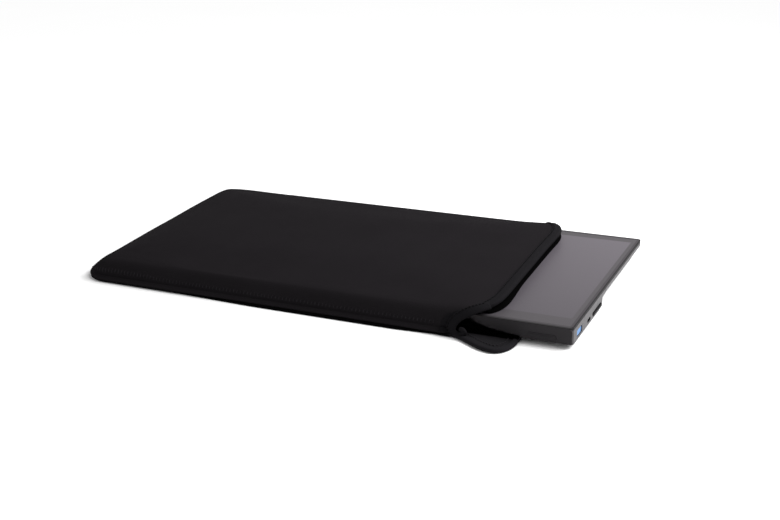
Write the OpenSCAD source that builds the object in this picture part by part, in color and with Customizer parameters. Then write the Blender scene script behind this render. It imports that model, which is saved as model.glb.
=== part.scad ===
// Slim portable monitor, partly drawn out of its soft slip-on sleeve.
// Origin: on the table under the centre of the sleeve. +X towards the open mouth, +Z up.

/* [Monitor] */
// Thickness of the deep part beside the front face
base_h = 13.8; // [13:0.1:16]
// Depth of the deep part behind the rocker key
base_end = 5; // [3:0.5:40]
// Thickness of the thin part behind the step
panel_h = 5.3; // [4.8:0.1:6]
// Height of the slanted stretch between the step and the thin part
slant_h = 1.3; // [0.5:0.1:3]
// Run of that slanted stretch
slant_run = 10; // [4:1:20]
// Wall thickness of the rear cover
wall_t = 1.2; // [1:0.1:1.6]
// Floor thickness of the rear cover
floor_t = 1; // [0.8:0.1:1.4]
// Radius of the corners seen from above
corner_r = 4; // [3:0.5:8]
// Rounding of the lower front edge
edge_r = 1; // [0.5:0.1:1.4]

/* [Screen] */
// Length of the lit area
screen_l = 344.2; // [290:0.1:400]
// Width of the lit area
screen_w = 193.6; // [165:0.1:225]
// Dark border between the front face and the lit area
chin_w = 20; // [19:0.5:30]
// Dark border at both ends of the lit area
side_border = 6.4; // [6:0.1:12]
// Dark border behind the lit area
back_border = 12.4; // [6:0.1:20]
// How far the display stack reaches past the lit area
stack_rim = 2.4; // [1:0.1:2.4]
// Width of the dark trim round the screen
trim_w = 2; // [1:0.1:2.4]
// Depth of the screen surface below the trim
screen_recess = 0.1; // [0:0.05:0.2]
// Thickness of the outer screen film
film_t = 0.6; // [0.3:0.1:0.8]
// Thickness of the printed border under the film
mask_t = 0.1; // [0.05:0.05:0.2]
// Thickness of the liquid crystal cell
cell_t = 1.2; // [0.6:0.1:1.4]
// Thickness of the diffuser sheet
diffuser_t = 0.4; // [0.2:0.1:0.6]
// Thickness of the reflector sheet
reflector_t = 0.2; // [0.1:0.05:0.3]
// Thickness of the metal tray behind the reflector
tray_t = 0.3; // [0.2:0.05:0.4]
// Number of lamps along the light bar
lamp_n = 42; // [20:1:60]

/* [Front bar and feet] */
// Thickness of the dark bar that makes the front face
bar_t = 1.6; // [1.2:0.1:1.8]
// Light edge of the cover left visible round the bar
bar_inset = 0.5; // [0.3:0.1:0.8]
// Radius of the bar's corners
bar_r = 3; // [1:0.5:4]
// Length of a rubber foot in the front face
foot_l = 23.4; // [15:0.5:40]
// Height of a rubber foot
foot_h = 5.1; // [3:0.1:6]
// Distance of a foot from the end of the monitor
foot_end = 13; // [8:1:40]
// Height of a foot's lower edge above the underside
foot_z = 1.3; // [1.2:0.1:3]
// Depth of the pocket that holds a foot
foot_pocket = 0.8; // [0.5:0.1:1]
// How far a foot stands proud of the bar
foot_proud = 0.3; // [0.1:0.1:0.5]

/* [Ports and key] */
// Distance of the wide port from the front face
usb_a_y = 19.3; // [18:0.1:24]
// Height of the wide port's centre above the underside
usb_a_z = 4.6; // [4.5:0.1:5]
// Outer width of the wide port's shell
usb_a_w = 14.5; // [14:0.1:15]
// Outer height of the wide port's shell
usb_a_h = 6.4; // [6:0.1:6.6]
// Depth of the wide port's shell
usb_a_d = 14; // [12:0.5:18]
// Thickness of the blue tongue in the wide port
usb_a_tongue_t = 4.2; // [2:0.2:5]
// Distance from the wide port's centre to the small port's
usb_c_step = 27.2; // [22:0.1:40]
// Height of the small port's centre above the underside
usb_c_z = 3.4; // [3.2:0.1:3.6]
// Outer width of the small port's shell
usb_c_w = 9; // [8.6:0.1:9.6]
// Outer height of the small port's shell
usb_c_h = 3.2; // [3:0.1:3.4]
// Depth of the small port's shell
usb_c_d = 8; // [7:0.5:10]
// Wall thickness of both port shells
shell_t = 0.3; // [0.2:0.05:0.4]
// Distance from the wide port's centre to the status light
light_step = 11.7; // [9:0.1:14]
// Height of the status light above the underside
light_z = 5.3; // [4:0.1:6.5]
// Diameter of the status light
light_d = 1.8; // [1:0.1:2.5]
// Distance from the small port's centre to the nearer end of the rocker key
key_step = 11.5; // [9:0.5:20]
// Height of the rocker key's centre above the underside
key_z = 3.4; // [3.2:0.1:4]
// Length of the rocker key
key_l = 25; // [16:0.5:32]
// Height of the rocker key
key_h = 3; // [2.4:0.1:3.4]
// How far the rocker key stands proud of the side face
key_proud = 0.4; // [0.1:0.1:0.8]
// Thickness of the rocker key from its face to its back
key_t = 3; // [2.6:0.1:4]
// Diameter of the rocker key's pin
pin_d = 1; // [0.8:0.1:1.2]
// Clearance round a moving pin
pin_clear = 0.04; // [0.02:0.01:0.1]
// Gap round the ports and the key in the side wall
slot_gap = 0.4; // [0.3:0.05:0.6]

/* [Boards] */
// Thickness of the circuit boards
board_t = 1; // [0.8:0.1:1.2]
// Gap between the cover's floor and the main board
board_gap = 1; // [0.8:0.1:1.4]
// Length of the main board along the monitor
board_l = 62; // [50:1:120]
// Distance of the main board from the front face
board_y = 9; // [8.5:0.5:9.5]
// Diameter of the board screws
board_screw_d = 2; // [1.6:0.1:2.5]
// Length of the display driver board
driver_l = 280; // [200:5:320]
// Width of the display driver board
driver_w = 14; // [10:1:20]
// Thickness of the display driver board
driver_t = 0.8; // [0.5:0.1:1]
// Width of the flat display cable
cable_w = 20; // [10:1:24]
// Thickness of the flat display cable
cable_t = 0.3; // [0.2:0.05:0.4]
// Diameter of the cover screws
cover_screw_d = 2.2; // [1.8:0.1:2.4]
// Number of cover screws along the front
cover_screw_n = 5; // [3:1:8]

/* [Sleeve] */
// How much longer the sleeve is than the monitor
spare_l = 11; // [9:0.5:30]
// Clearance between the monitor's long sides and the sleeve's side walls
pocket_side = 2.8; // [2.6:0.1:8]
// Clearance between the screen and the sleeve's upper panel
pocket_top = 0.6; // [0.6:0.1:4]
// Thickness of the sleeve's padded fabric
fabric_t = 3; // [2.5:0.1:5]
// How much higher the padded top stands along its middle than beside its walls
crown = 5; // [0:0.5:7]
// Extra height of the mouth's raised rim
mouth_rise = 1; // [0:0.1:4]
// Width of the stitched seam flange
flange_w = 5.2; // [4:0.1:8]
// Radius of the two closed corners
sleeve_r = 28; // [16:1:40]
// Run of the slope at the closed end
end_run = 22; // [12:1:28]
// How much further the closed end reaches at its back corner
end_skew = 8; // [0:0.5:12]
// How far the mouth's middle stands out past the seams
mouth_bow = 23; // [8:0.5:26]
// Width of each mouth corner, where the edge falls back to the seam
mouth_corner = 46; // [30:1:60]
// How far the mouth's front seam stops short of the sleeve's length
front_cut = 8; // [4:0.1:16]
// How far the mouth's back seam stops short of the sleeve's length
back_cut = 5; // [1:0.1:10]
// Width of the binding along the mouth
binding_w = 11; // [8:0.5:14]
// Thickness of the binding
binding_t = 0.6; // [0.4:0.1:0.8]
// How far the lower lip's tongue stands out past the seams
tongue_out = 47.5; // [30:0.5:56]
// How far the lower lip's tongue stands out past the front flange
tongue_side = 18.5; // [8:0.5:24]
// Radius at the tongue's outer corner
tongue_r = 14.5; // [12:0.5:24]
// Pitch of the stitches along the seam
stitch_pitch = 4; // [3:0.5:6]
// Length of one stitch
stitch_l = 2.6; // [1.5:0.1:2.8]
// Thickness of the seam's thread
thread_d = 0.6; // [0.4:0.1:0.8]

/* [Position] */
// How far the monitor stands out past the mouth's seams
drawn_out = 89; // [60:1:120]
// Clearance between the monitor and the sleeve's lower panel
pocket_gap = 0.3; // [0.2:0.05:0.5]

/* [Hidden] */
$fn = 48;

fit_gap = 0.1;
monitor_l = screen_l + 2 * side_border;
monitor_w = chin_w + screen_w + back_border;
sleeve_l = monitor_l + spare_l;
sleeve_w = monitor_w + 2 * (pocket_side + fabric_t + flange_w);
sleeve_h = 2 * fabric_t + pocket_gap + base_h + pocket_top;
light_y = usb_a_y + light_step;
usb_c_y = usb_a_y + usb_c_step;
key_y = usb_c_y + key_step + key_l / 2;
base_w = key_y + key_l / 2 + base_end;
mon_x = sleeve_l / 2 + drawn_out - monitor_l;
mon_y = -monitor_w / 2;
mon_z = fabric_t + pocket_gap;
thin_z = base_h - panel_h;
tray_z = thin_z + floor_t;
film_z = base_h - screen_recess - film_t;
mask_z = film_z - mask_t;
cell_z = mask_z - cell_t;
diffuser_z = cell_z - diffuser_t;
reflector_z = tray_z + tray_t;
guide_z = reflector_z + reflector_t;
guide_t = diffuser_z - guide_z;
front_wall = bar_t + wall_t;
screen_x = side_border;
stack_x = screen_x - stack_rim;
stack_y = chin_w - stack_rim;
stack_l = screen_l + 2 * stack_rim;
stack_w = screen_w + 2 * stack_rim;
lamp_t = 1.2;
lamp_gap = 0.2;
slant_z = thin_z - slant_h;
slant_angle = atan(slant_h / slant_run);
port_x = monitor_l - 0.2;
board_x = monitor_l - wall_t - 0.3 - board_l;
board_z = floor_t + board_gap;
board_top = board_z + board_t;
key_board_gap = 1;
board_w = key_y - key_l / 2 - 2 * key_board_gap - board_y;
inner_h = tray_z - floor_t;
key_gap = 0.4;
button_h = 1.5;
key_back = monitor_l + key_proud - key_t;
key_board_x = key_back - key_gap - button_h - board_t;
pin_x = monitor_l - wall_t - pin_d / 2 - fit_gap;
socket_h = 1;
socket_w = 6;
cable_y = board_y + board_w - socket_w - 2;
drop_y = cable_y - 3;
boss_r = 2.5;
cover_screw_y = front_wall + boss_r + 0.3;
head_r = cover_screw_d * 0.9;
head_h = 0.6;
half_w = sleeve_w / 2;
half_l = sleeve_l / 2;
// The step down under the tape slants a little
tape_start = binding_w - 0.2;

function smooth(t) = let (u = min(1, max(0, t))) u * u * (3 - 2 * u);
function mix(a, b, t) = a + (b - a) * t;

// Helpers of the monitor

module on_monitor() translate([mon_x, mon_y, mon_z]) children();

module rounded_plan(length, width, radius) {
    hull_r = min(radius, width / 2 - 0.01);
    for (x = [hull_r, length - hull_r], y = [hull_r, width - hull_r])
        translate([x, y]) circle(hull_r);
    translate([hull_r, 0]) square([length - 2 * hull_r, width]);
    translate([0, hull_r]) square([length, width - 2 * hull_r]);
}

module plate(x, y, z, length, width, thick, radius = 0.5) {
    translate([x, y, z]) linear_extrude(thick) rounded_plan(length, width, radius);
}

// A rounded slot that runs along X, with its centre at the given place on the side wall
module side_slot(x, y, z, depth, width, height) {
    translate([x, y - width / 2, z - height / 2]) rotate([90, 0, 90])
        linear_extrude(depth) rounded_plan(width, height, height / 2);
}

module side_box(x, y, z, depth, width, height, radius = 0.4) {
    translate([x, y - width / 2, z - height / 2]) rotate([90, 0, 90])
        linear_extrude(depth) rounded_plan(width, height, radius);
}

// What rounding an edge takes away
module edge_cut() difference() {
    square(edge_r);
    translate([edge_r, edge_r]) circle(edge_r);
}

// Side view of the housing: deep at the front, thin behind a step that ends in a slant
module outer_profile() {
    difference() {
        polygon([[0, base_h], [0, 0], [base_w, 0], [base_w, slant_z], [base_w + slant_run, thin_z],
            [monitor_w, thin_z], [monitor_w, base_h]]);
        edge_cut();
        translate([base_w, 0]) mirror([1, 0]) edge_cut();
    }
}

module inner_profile() {
    polygon([[front_wall, base_h + 1], [front_wall, floor_t], [base_w - wall_t, floor_t],
        [base_w - wall_t, slant_z + floor_t / cos(slant_angle) - wall_t * tan(slant_angle)],
        [base_w + slant_run - floor_t * tan(slant_angle / 2), tray_z],
        [monitor_w - wall_t, tray_z],
        [monitor_w - wall_t, base_h + 1]]);
}

module along_x(x, length) translate([x, 0, 0]) rotate([90, 0, 90]) linear_extrude(length) children();

module boss(x, y, height, hole_d) {
    translate([x, y, 0]) difference() {
        cylinder(h = height, r = boss_r);
        translate([0, 0, -1]) cylinder(h = height + 2, d = hole_d);
    }
}

// Distances of the board screws from the board's inner end, its outer end and its front edge
screw_in = 5;
screw_out = 19;
screw_front = 4.5;
board_screw_at = [for (x = [screw_in, board_l - screw_out], y = [screw_front, board_w - screw_front + 1])
    [board_x + x, board_y + y]];
cover_screw_at = [for (i = [0:cover_screw_n - 1])
    [mix(corner_r + 8, monitor_l - corner_r - 8, i / (cover_screw_n - 1)), cover_screw_y]];

module bar_block() {
    translate([bar_inset, bar_t, bar_inset]) rotate([90, 0, 0]) linear_extrude(bar_t + 1)
        rounded_plan(monitor_l - 2 * bar_inset, base_h - 2 * bar_inset, bar_r);
}

// Parts of the monitor

module rear_cover() color("gray") on_monitor() {
    difference() {
        intersection() {
            along_x(0, monitor_l) outer_profile();
            plate(0, 0, -1, monitor_l, monitor_w, base_h + 2, corner_r);
        }
        along_x(wall_t, monitor_l - 2 * wall_t) inner_profile();
        bar_block();
        side_box(monitor_l - 3, usb_a_y, usb_a_z, 5, usb_a_w + 2 * fit_gap, usb_a_h + 2 * fit_gap);
        side_slot(monitor_l - 3, usb_c_y, usb_c_z, 5, usb_c_w + 2 * fit_gap, usb_c_h + 2 * fit_gap);
        side_slot(monitor_l - 3, key_y, key_z, 5, key_l + 2 * slot_gap, key_h + 2 * slot_gap);
        translate([monitor_l - 3, light_y, light_z]) rotate([0, 90, 0]) cylinder(h = 5, d = light_d);
        for (p = cover_screw_at) {
            translate([p[0], p[1], -1]) cylinder(h = floor_t + 2, d = cover_screw_d + 2 * fit_gap);
            translate([p[0], p[1], -1]) cylinder(h = 1 + head_h, r = head_r + fit_gap);
        }
    }
    for (p = board_screw_at)
        translate([0, 0, floor_t]) boss(p[0], p[1], board_gap, board_screw_d + fit_gap);
}

module front_frame() color("dimgray") on_monitor() difference() {
    union() {
        difference() {
            plate(wall_t, front_wall, tray_z, monitor_l - 2 * wall_t,
                monitor_w - wall_t - front_wall, panel_h - floor_t, corner_r - wall_t);
            plate(stack_x, stack_y, tray_z - 1, stack_l, stack_w, panel_h + 2, 0.5);
            plate(wall_t + trim_w, front_wall + trim_w, film_z - mask_t,
                monitor_l - 2 * (wall_t + trim_w), monitor_w - wall_t - front_wall - 2 * trim_w,
                panel_h, 1);
        }
        for (p = cover_screw_at)
            translate([p[0], p[1], floor_t]) cylinder(h = inner_h, r = boss_r);
    }
    for (p = cover_screw_at)
        translate([p[0], p[1], floor_t - 1]) cylinder(h = inner_h + 1, d = cover_screw_d + fit_gap);
}

module foot_shape(x, grow) {
    translate([x - grow, 0, foot_z - grow]) rotate([90, 0, 0]) linear_extrude(10, center = true)
        rounded_plan(foot_l + 2 * grow, foot_h + 2 * grow, foot_h / 2 - 0.6);
}

foot_left_x = foot_end;
foot_right_x = monitor_l - foot_end - foot_l;

module front_bar() color("#2b292b") on_monitor() difference() {
    intersection() {
        bar_block();
        along_x(0, monitor_l) outer_profile();
    }
    intersection() {
        union() {
            foot_shape(foot_left_x, fit_gap);
            foot_shape(foot_right_x, fit_gap);
        }
        translate([0, -1, 0]) cube([monitor_l, 1 + foot_pocket, base_h]);
    }
}

module foot(x) color("#1c1b1d") on_monitor() difference() {
    intersection() {
        foot_shape(x, 0);
        translate([0, -foot_proud, 0]) cube([monitor_l, foot_proud + foot_pocket, base_h]);
    }
    translate([x + 3, -foot_proud - 1, foot_z + foot_h - 1.4]) cube([foot_l - 6, 1.2, 0.4]);
}

module foot_right() foot(foot_right_x);

module foot_left() foot(foot_left_x);

film_x = wall_t + trim_w;
film_y = front_wall + trim_w;
film_l = monitor_l - 2 * film_x;
film_w = monitor_w - wall_t - trim_w - film_y;

module screen_film() color("#6c686e") on_monitor()
    plate(film_x, film_y, film_z, film_l, film_w, film_t, 1);

module border_mask() color("#161517") on_monitor() difference() {
    plate(film_x, film_y, mask_z, film_l, film_w, mask_t, 1);
    plate(screen_x, chin_w, mask_z - 1, screen_l, screen_w, mask_t + 2, 0.3);
}

module lcd_cell() color("#3a3a44") on_monitor()
    plate(stack_x, stack_y, cell_z, stack_l, stack_w, cell_t);

module diffuser_sheet() color("white") on_monitor()
    plate(stack_x, stack_y, diffuser_z, stack_l, stack_w, diffuser_t);

lamp_strip_t = 0.8;
guide_front = stack_y + lamp_strip_t + lamp_t + lamp_gap;

module light_guide() color("aliceblue") on_monitor()
    plate(stack_x, guide_front, guide_z, stack_l, stack_y + stack_w - guide_front, guide_t);

module reflector_sheet() color("whitesmoke") on_monitor()
    plate(stack_x, stack_y, reflector_z, stack_l, stack_w, reflector_t);

module light_bar() color("gold") on_monitor() {
    translate([stack_x + 1, stack_y, guide_z]) cube([stack_l - 2, lamp_strip_t, guide_t]);
    for (i = [0:lamp_n - 1])
        translate([stack_x + (i + 0.5) * stack_l / lamp_n - 2, stack_y + lamp_strip_t, guide_z])
            cube([4, lamp_t, guide_t]);
}

module panel_tray() color("silver") on_monitor()
    plate(stack_x, stack_y, tray_z, stack_l, stack_w, tray_t);

driver_y = stack_y + 2;

module driver_board() color("darkgreen") on_monitor()
    plate((monitor_l - driver_l) / 2, driver_y, tray_z - driver_t, driver_l, driver_w, driver_t);

cable_x = board_x + (screw_in + board_l - screw_out - cable_w) / 2;
cable_top = tray_z - driver_t;

module display_cable() color("orange") on_monitor() along_x(cable_x, cable_w) {
    translate([driver_y + 4, cable_top - cable_t])
        square([drop_y + cable_t - driver_y - 4, cable_t]);
    translate([drop_y, board_top + socket_h]) square([cable_t, cable_top - board_top - socket_h]);
    translate([drop_y, board_top + socket_h])
        square([cable_y + socket_w - drop_y - 1, cable_t]);
}

module cable_socket() color("ivory") on_monitor()
    translate([cable_x - 1, cable_y, board_top]) cube([cable_w + 2, socket_w, socket_h]);

module port_notches() {
    side_box(monitor_l - usb_a_d - 0.2 - fit_gap, usb_a_y, usb_a_z, usb_a_d + 5,
        usb_a_w + 2 * fit_gap, usb_a_h + 2 * fit_gap);
    side_box(monitor_l - usb_c_d - 0.2 - fit_gap, usb_c_y, usb_c_z, usb_c_d + 5,
        usb_c_w + 2 * fit_gap, usb_c_h + 2 * fit_gap);
}

module main_board() color("green") on_monitor() difference() {
    plate(board_x, board_y, board_z, board_l, board_w, board_t, 1);
    port_notches();
    for (p = board_screw_at)
        translate([p[0], p[1], 0]) cylinder(h = base_h, d = board_screw_d + 2 * fit_gap);
}

shield_l = 20;
shield_w = 18;
shield_h = 2.6;
shield_t = 0.2;
shield_x = board_x + 0.26 * board_l;
shield_y = board_y + 3;

module board_shield() color("silver") on_monitor() difference() {
    translate([shield_x, shield_y, board_top]) cube([shield_l, shield_w, shield_h]);
    translate([shield_x + shield_t, shield_y + shield_t, board_top - 1])
        cube([shield_l - 2 * shield_t, shield_w - 2 * shield_t, shield_h + 1 - shield_t]);
}

// Chips: share of the board's length from its inner end, distance from its front edge, length, width
chips = [[0.32, 6, 9, 9], [0.5, 8, 3, 5], [0.03, 12, 8, 8], [0.06, 25, 10, 6], [0.64, 18, 4, 4],
    [0.72, 30, 5, 4], [0.29, 24, 4, 4], [0.46, 24, 6, 4]];
chip_h = 1.1;

module board_chips() color("black") on_monitor()
    for (c = chips)
        translate([board_x + c[0] * board_l, board_y + c[1], board_top]) cube([c[2], c[3], chip_h]);

module board_screws() color("silver") on_monitor() for (p = board_screw_at)
    translate([p[0], p[1], 0]) {
        translate([0, 0, floor_t]) cylinder(h = board_gap + board_t, d = board_screw_d);
        translate([0, 0, board_top]) difference() {
            cylinder(h = 0.8, r = boss_r - 0.6);
            translate([0, 0, 0.4]) cylinder(h = 1, d = 1.6, $fn = 6);
        }
    }

module cover_screws() color("silver") on_monitor() for (p = cover_screw_at)
    translate([p[0], p[1], 0]) difference() {
        union() {
            translate([0, 0, fit_gap]) cylinder(h = head_h - fit_gap, r = head_r);
            translate([0, 0, head_h]) cylinder(h = inner_h - 1, d = cover_screw_d);
        }
        translate([0, 0, -1]) cylinder(h = 1.3 + fit_gap, d = cover_screw_d * 0.6, $fn = 6);
    }

module usb_a_shell() color("silver") on_monitor() difference() {
    side_box(port_x - usb_a_d, usb_a_y, usb_a_z, usb_a_d, usb_a_w, usb_a_h);
    side_box(port_x - usb_a_d + shell_t, usb_a_y, usb_a_z, usb_a_d,
        usb_a_w - 2 * shell_t, usb_a_h - 2 * shell_t, 0.2);
}

tongue_back = 3;
tongue_set = 0.4;

module usb_a_tongue() color("#438ed2") on_monitor() {
    side_box(port_x - usb_a_d + shell_t, usb_a_y, usb_a_z, 4,
        usb_a_w - 2 * shell_t, usb_a_h - 2 * shell_t, 0.2);
    translate([port_x - usb_a_d + tongue_back, usb_a_y - usb_a_w * 0.38,
        usb_a_z - usb_a_tongue_t / 2])
        cube([usb_a_d - tongue_back - tongue_set, usb_a_w * 0.76, usb_a_tongue_t]);
}

module usb_c_shell() color("silver") on_monitor() difference() {
    side_slot(port_x - usb_c_d, usb_c_y, usb_c_z, usb_c_d, usb_c_w, usb_c_h);
    side_slot(port_x - usb_c_d + shell_t, usb_c_y, usb_c_z, usb_c_d,
        usb_c_w - 2 * shell_t, usb_c_h - 2 * shell_t);
}

module usb_c_tongue() color("black") on_monitor() {
    side_slot(port_x - usb_c_d + shell_t, usb_c_y, usb_c_z, 1.6,
        usb_c_w - 2 * shell_t, usb_c_h - 2 * shell_t);
    side_box(port_x - usb_c_d + 1, usb_c_y, usb_c_z, usb_c_d - 2, usb_c_w * 0.72, 0.7, 0.2);
}

light_depth = 3;

module status_light() color("lightgray") on_monitor()
    translate([monitor_l - light_depth, light_y, light_z]) rotate([0, 90, 0])
        cylinder(h = light_depth - 0.1, d = light_d - fit_gap);

// The rocker key, its pin and what it presses

switch_reach = key_l / 2 - 3.5;

module key_board() color("green") on_monitor()
    translate([key_board_x, key_y - key_l / 2 - key_board_gap, floor_t])
        cube([board_t, key_l + 2 * key_board_gap, key_z + 2.6]);

module key_switches() color("#303030") on_monitor() for (s = [-1, 1])
    translate([key_board_x + board_t, key_y + s * switch_reach, key_z]) {
        translate([0, -1.5, -1.2]) cube([button_h - 0.6, 3, 2.4]);
        rotate([0, 90, 0]) cylinder(h = button_h, r = 0.7);
    }

module key_pin() color("silver") on_monitor()
    translate([pin_x, key_y, floor_t]) cylinder(h = key_z - floor_t + key_h / 2 + 1, d = pin_d);

module rocker_key() color("#161517") on_monitor() difference() {
    union() {
        side_slot(key_back, key_y, key_z, key_t, key_l, key_h);
        translate([pin_x, key_y, key_z - key_h / 2]) cylinder(h = key_h, r = pin_d / 2 + 0.9);
    }
    translate([pin_x, key_y, 0]) cylinder(h = base_h, r = pin_d / 2 + pin_clear);
}

// Shape of the sleeve. j counts across it, from the front seam over the top to the back seam.

// Distances from the outline at which the side wall is drawn, and how far it has risen there
wall_offsets = [0, flange_w, flange_w + 0.15, flange_w + 0.4, flange_w + 0.8, flange_w + 1.5,
    flange_w + 2.6, flange_w + 4.6, flange_w + 9];
wall_rise = [0, 0, 0.3, 0.62, 0.82, 0.93, 0.985, 1, 1];
wall_n = len(wall_offsets);
middle_n = 13;
across_n = 2 * wall_n + middle_n;

// Distance of the outline from the sleeve's middle line, drawn in at the closed corners
function outline_w(x) = let (d = sleeve_r - (x + half_l))
    d <= 0 ? half_w : half_w - sleeve_r + sqrt(max(0, sleeve_r * sleeve_r - d * d));

// Number of the wall point that j stands for, counted from the nearer seam
function wall_index(j) = min(wall_n - 1, j, across_n - 1 - j);

function across_y(j, w, depth) = let (k = wall_index(j),
    inset = wall_offsets[k] + depth * min(1, k),
    last = wall_offsets[wall_n - 1] + depth,
    spread = (1 - cos(180 * (j - wall_n + 1) / (middle_n + 1))) / 2)
    j < wall_n ? -w + inset : j >= across_n - wall_n ? w - inset : mix(-w + last, w - last, spread);

// The mouth's edge stands out in the middle and falls back to the seams at both sides
function mouth_x(j) = let (d = half_w - abs(across_y(j, half_w, 0)),
    cut = j < across_n / 2 ? front_cut : back_cut,
    fall = max(0, 1 - d / mouth_corner))
    half_l + mouth_bow - (mouth_bow + cut) * fall * fall;

// Stations along the sleeve, close together where the closed end slopes and at the mouth
stations = [0, 0.008, 0.015, 0.022, 0.031, 0.041, 0.052, 0.064, 0.078, 0.1, 0.16, 0.26, 0.38,
    0.5, 0.62, 0.72, 0.8, 0.86, 0.91, 0.95, 0.98, 1];

function end_rise(x, depth) = let (t = (x + half_l - flange_w - depth) / end_run)
    pow(sin(90 * min(1, max(0, t))), 0.75);

function top_height(x) = sleeve_h + mouth_rise * smooth((x - half_l + 60) / 75);

// How far the closed half of the sleeve reaches further out at a place
function skew_at(x, y) = end_skew * pow(max(0, -x / half_l), 2) * pow(y / sleeve_w + 0.5, 2);

// A point of the upper panel, at some depth below its outside
function panel_point(x, j, depth) = let (
    low = 2 * fabric_t - depth,
    y = across_y(j, outline_w(x), depth),
    high = top_height(x) + crown * (1 - pow(abs(y) / half_w, 3)) - depth)
    [x - skew_at(x, y), y, low + (high - low) * wall_rise[wall_index(j)] * end_rise(x, depth)];

// A row of the upper panel that ends short of the mouth's edge
function mouth_row(short, depth) = [for (j = [0:across_n - 1]) panel_point(mouth_x(j) - short, j, depth)];

function panel_rows(depth) = [for (s = stations, j = [0:across_n - 1])
    panel_point(mix(-half_l, mouth_x(j) - binding_w, s), j, depth)];

// The two triangles of one square of a grid, split along one diagonal or the other
function square_faces(a, c, turned) = turned ? [[a, a + c, a + c + 1], [a, a + c + 1, a + 1]]
    : [[a, a + c, a + 1], [a + 1, a + c, a + c + 1]];

function flipped(faces) = [for (f = faces) [f[0], f[2], f[1]]];

// A closed sheet between two grids of points, whose rows are listed one after the other.
// From the row where it folds back, squares are split the other way, as in what lies under them.
module sheet(outside, inside, fold) {
    n = len(outside);
    c = across_n;
    rows = n / c;
    polyhedron(points = concat(outside, inside), faces = concat(
        [for (i = [0:rows - 2], j = [0:c - 2]) each square_faces(i * c + j, c, i >= fold)],
        [for (i = [0:rows - 2], j = [0:c - 2])
            each flipped(square_faces(n + i * c + j, c, i >= fold))],
        [for (i = [0:rows - 2]) let (a = i * c, b = a + c - 1)
            each [[a, a + n, a + c], [a + n, a + n + c, a + c],
                [b, b + c, b + n], [b + n, b + c, b + n + c]]],
        [for (j = [0:c - 2]) let (a = j, b = (rows - 1) * c + j)
            each [[a, a + 1, a + n], [a + 1, a + 1 + n, a + n],
                [b, b + n, b + 1], [b + 1, b + n, b + 1 + n]]]));
}

module sleeve_top_panel() color("#262427") {
    under = fabric_t - binding_t;
    sheet(
        concat(panel_rows(0), mouth_row(tape_start, binding_t), mouth_row(binding_t, binding_t)),
        concat(panel_rows(fabric_t), mouth_row(tape_start, under), mouth_row(binding_t, under)),
        len(stations) + 2);
}

// The tape is folded over the panel's edge, so its section is a flat U
module mouth_binding_top() color("#1f1e20") {
    under = fabric_t - binding_t;
    sheet(
        concat(mouth_row(binding_w, 0), mouth_row(0, 0),
            mouth_row(0, fabric_t), mouth_row(binding_w, fabric_t)),
        concat(mouth_row(tape_start, binding_t), mouth_row(binding_t, binding_t),
            mouth_row(binding_t, under), mouth_row(tape_start, under)),
        2);
}

// Outline of the lower panel, with its tongue at the front of the mouth

function arc_points(c, r, a0, a1, n) =
    [for (k = [0:n]) let (a = mix(a0, a1, k / n)) c + r * [cos(a), sin(a)]];

function curve_point(p, t) = let (u = 1 - t)
    u * u * u * p[0] + 3 * u * u * t * p[1] + 3 * u * t * t * p[2] + t * t * t * p[3];

function curve(p, n) = [for (k = [1:n]) curve_point(p, k / n)];

seam_front = [half_l - front_cut, -half_w];
seam_back = [half_l - back_cut, half_w];
tongue_tip = [half_l + tongue_out - tongue_r, -half_w - tongue_side];
tongue_end = [half_l + tongue_out, -half_w - tongue_side + 1.5 * tongue_r];
seam_lead = 14;

mouth_outline = concat([seam_front],
    curve([seam_front, seam_front + [seam_lead, -3], tongue_tip - [seam_lead, 0], tongue_tip], 12),
    curve([tongue_tip, tongue_tip + [0.62 * tongue_r, 0],
        tongue_end - [0, 0.8 * tongue_r], tongue_end], 10),
    curve([tongue_end, tongue_end + [0, 0.19 * sleeve_w],
        seam_back + [0.8 * tongue_out, -0.28 * sleeve_w], seam_back], 14));
mouth_n = len(mouth_outline);

function across_to(p, q) = let (d = q - p) [-d[1], d[0]] / norm(d);

// The mouth's outline moved inwards by a distance
function inset_outline(distance) = [for (k = [0:mouth_n - 1])
    mouth_outline[k] + distance * across_to(mouth_outline[max(0, k - 1)],
        mouth_outline[min(mouth_n - 1, k + 1)])];

function reversed(list) = [for (k = [len(list) - 1:-1:0]) list[k]];

// The closed edge, from its back corner along the end to its front corner
end_outline = concat(
    arc_points([-half_l + sleeve_r, half_w - sleeve_r], sleeve_r, 90, 180, 12),
    [for (k = [1:7]) [-half_l, mix(half_w - sleeve_r, sleeve_r - half_w, k / 8)]],
    arc_points([-half_l + sleeve_r, -half_w + sleeve_r], sleeve_r, 180, 270, 12));

module lower_outline() polygon(concat(mouth_outline,
    [for (p = end_outline) p - [skew_at(p[0], p[1]), 0]]));

// A strip along the mouth, between two distances from its edge
module mouth_strip(near, far) polygon(concat(inset_outline(near), reversed(inset_outline(far))));

module lower_tape_space() {
    linear_extrude(binding_t) mouth_strip(0, binding_w);
    translate([0, 0, fabric_t - binding_t]) linear_extrude(binding_t) mouth_strip(0, binding_w);
    linear_extrude(fabric_t) mouth_strip(0, binding_t);
}

module sleeve_bottom_panel() color("#242225") difference() {
    linear_extrude(fabric_t) lower_outline();
    lower_tape_space();
}

module mouth_binding_bottom() color("#1f1e20") lower_tape_space();

// Stitches along the flange, round the three closed sides

stitch_y = half_w - flange_w / 2;
straight_l = sleeve_l - sleeve_r - front_cut - binding_w - 2 * stitch_pitch;
end_l = sleeve_w - 2 * sleeve_r;

module stitch() cube([stitch_l, thread_d, thread_d / 2]);

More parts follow.
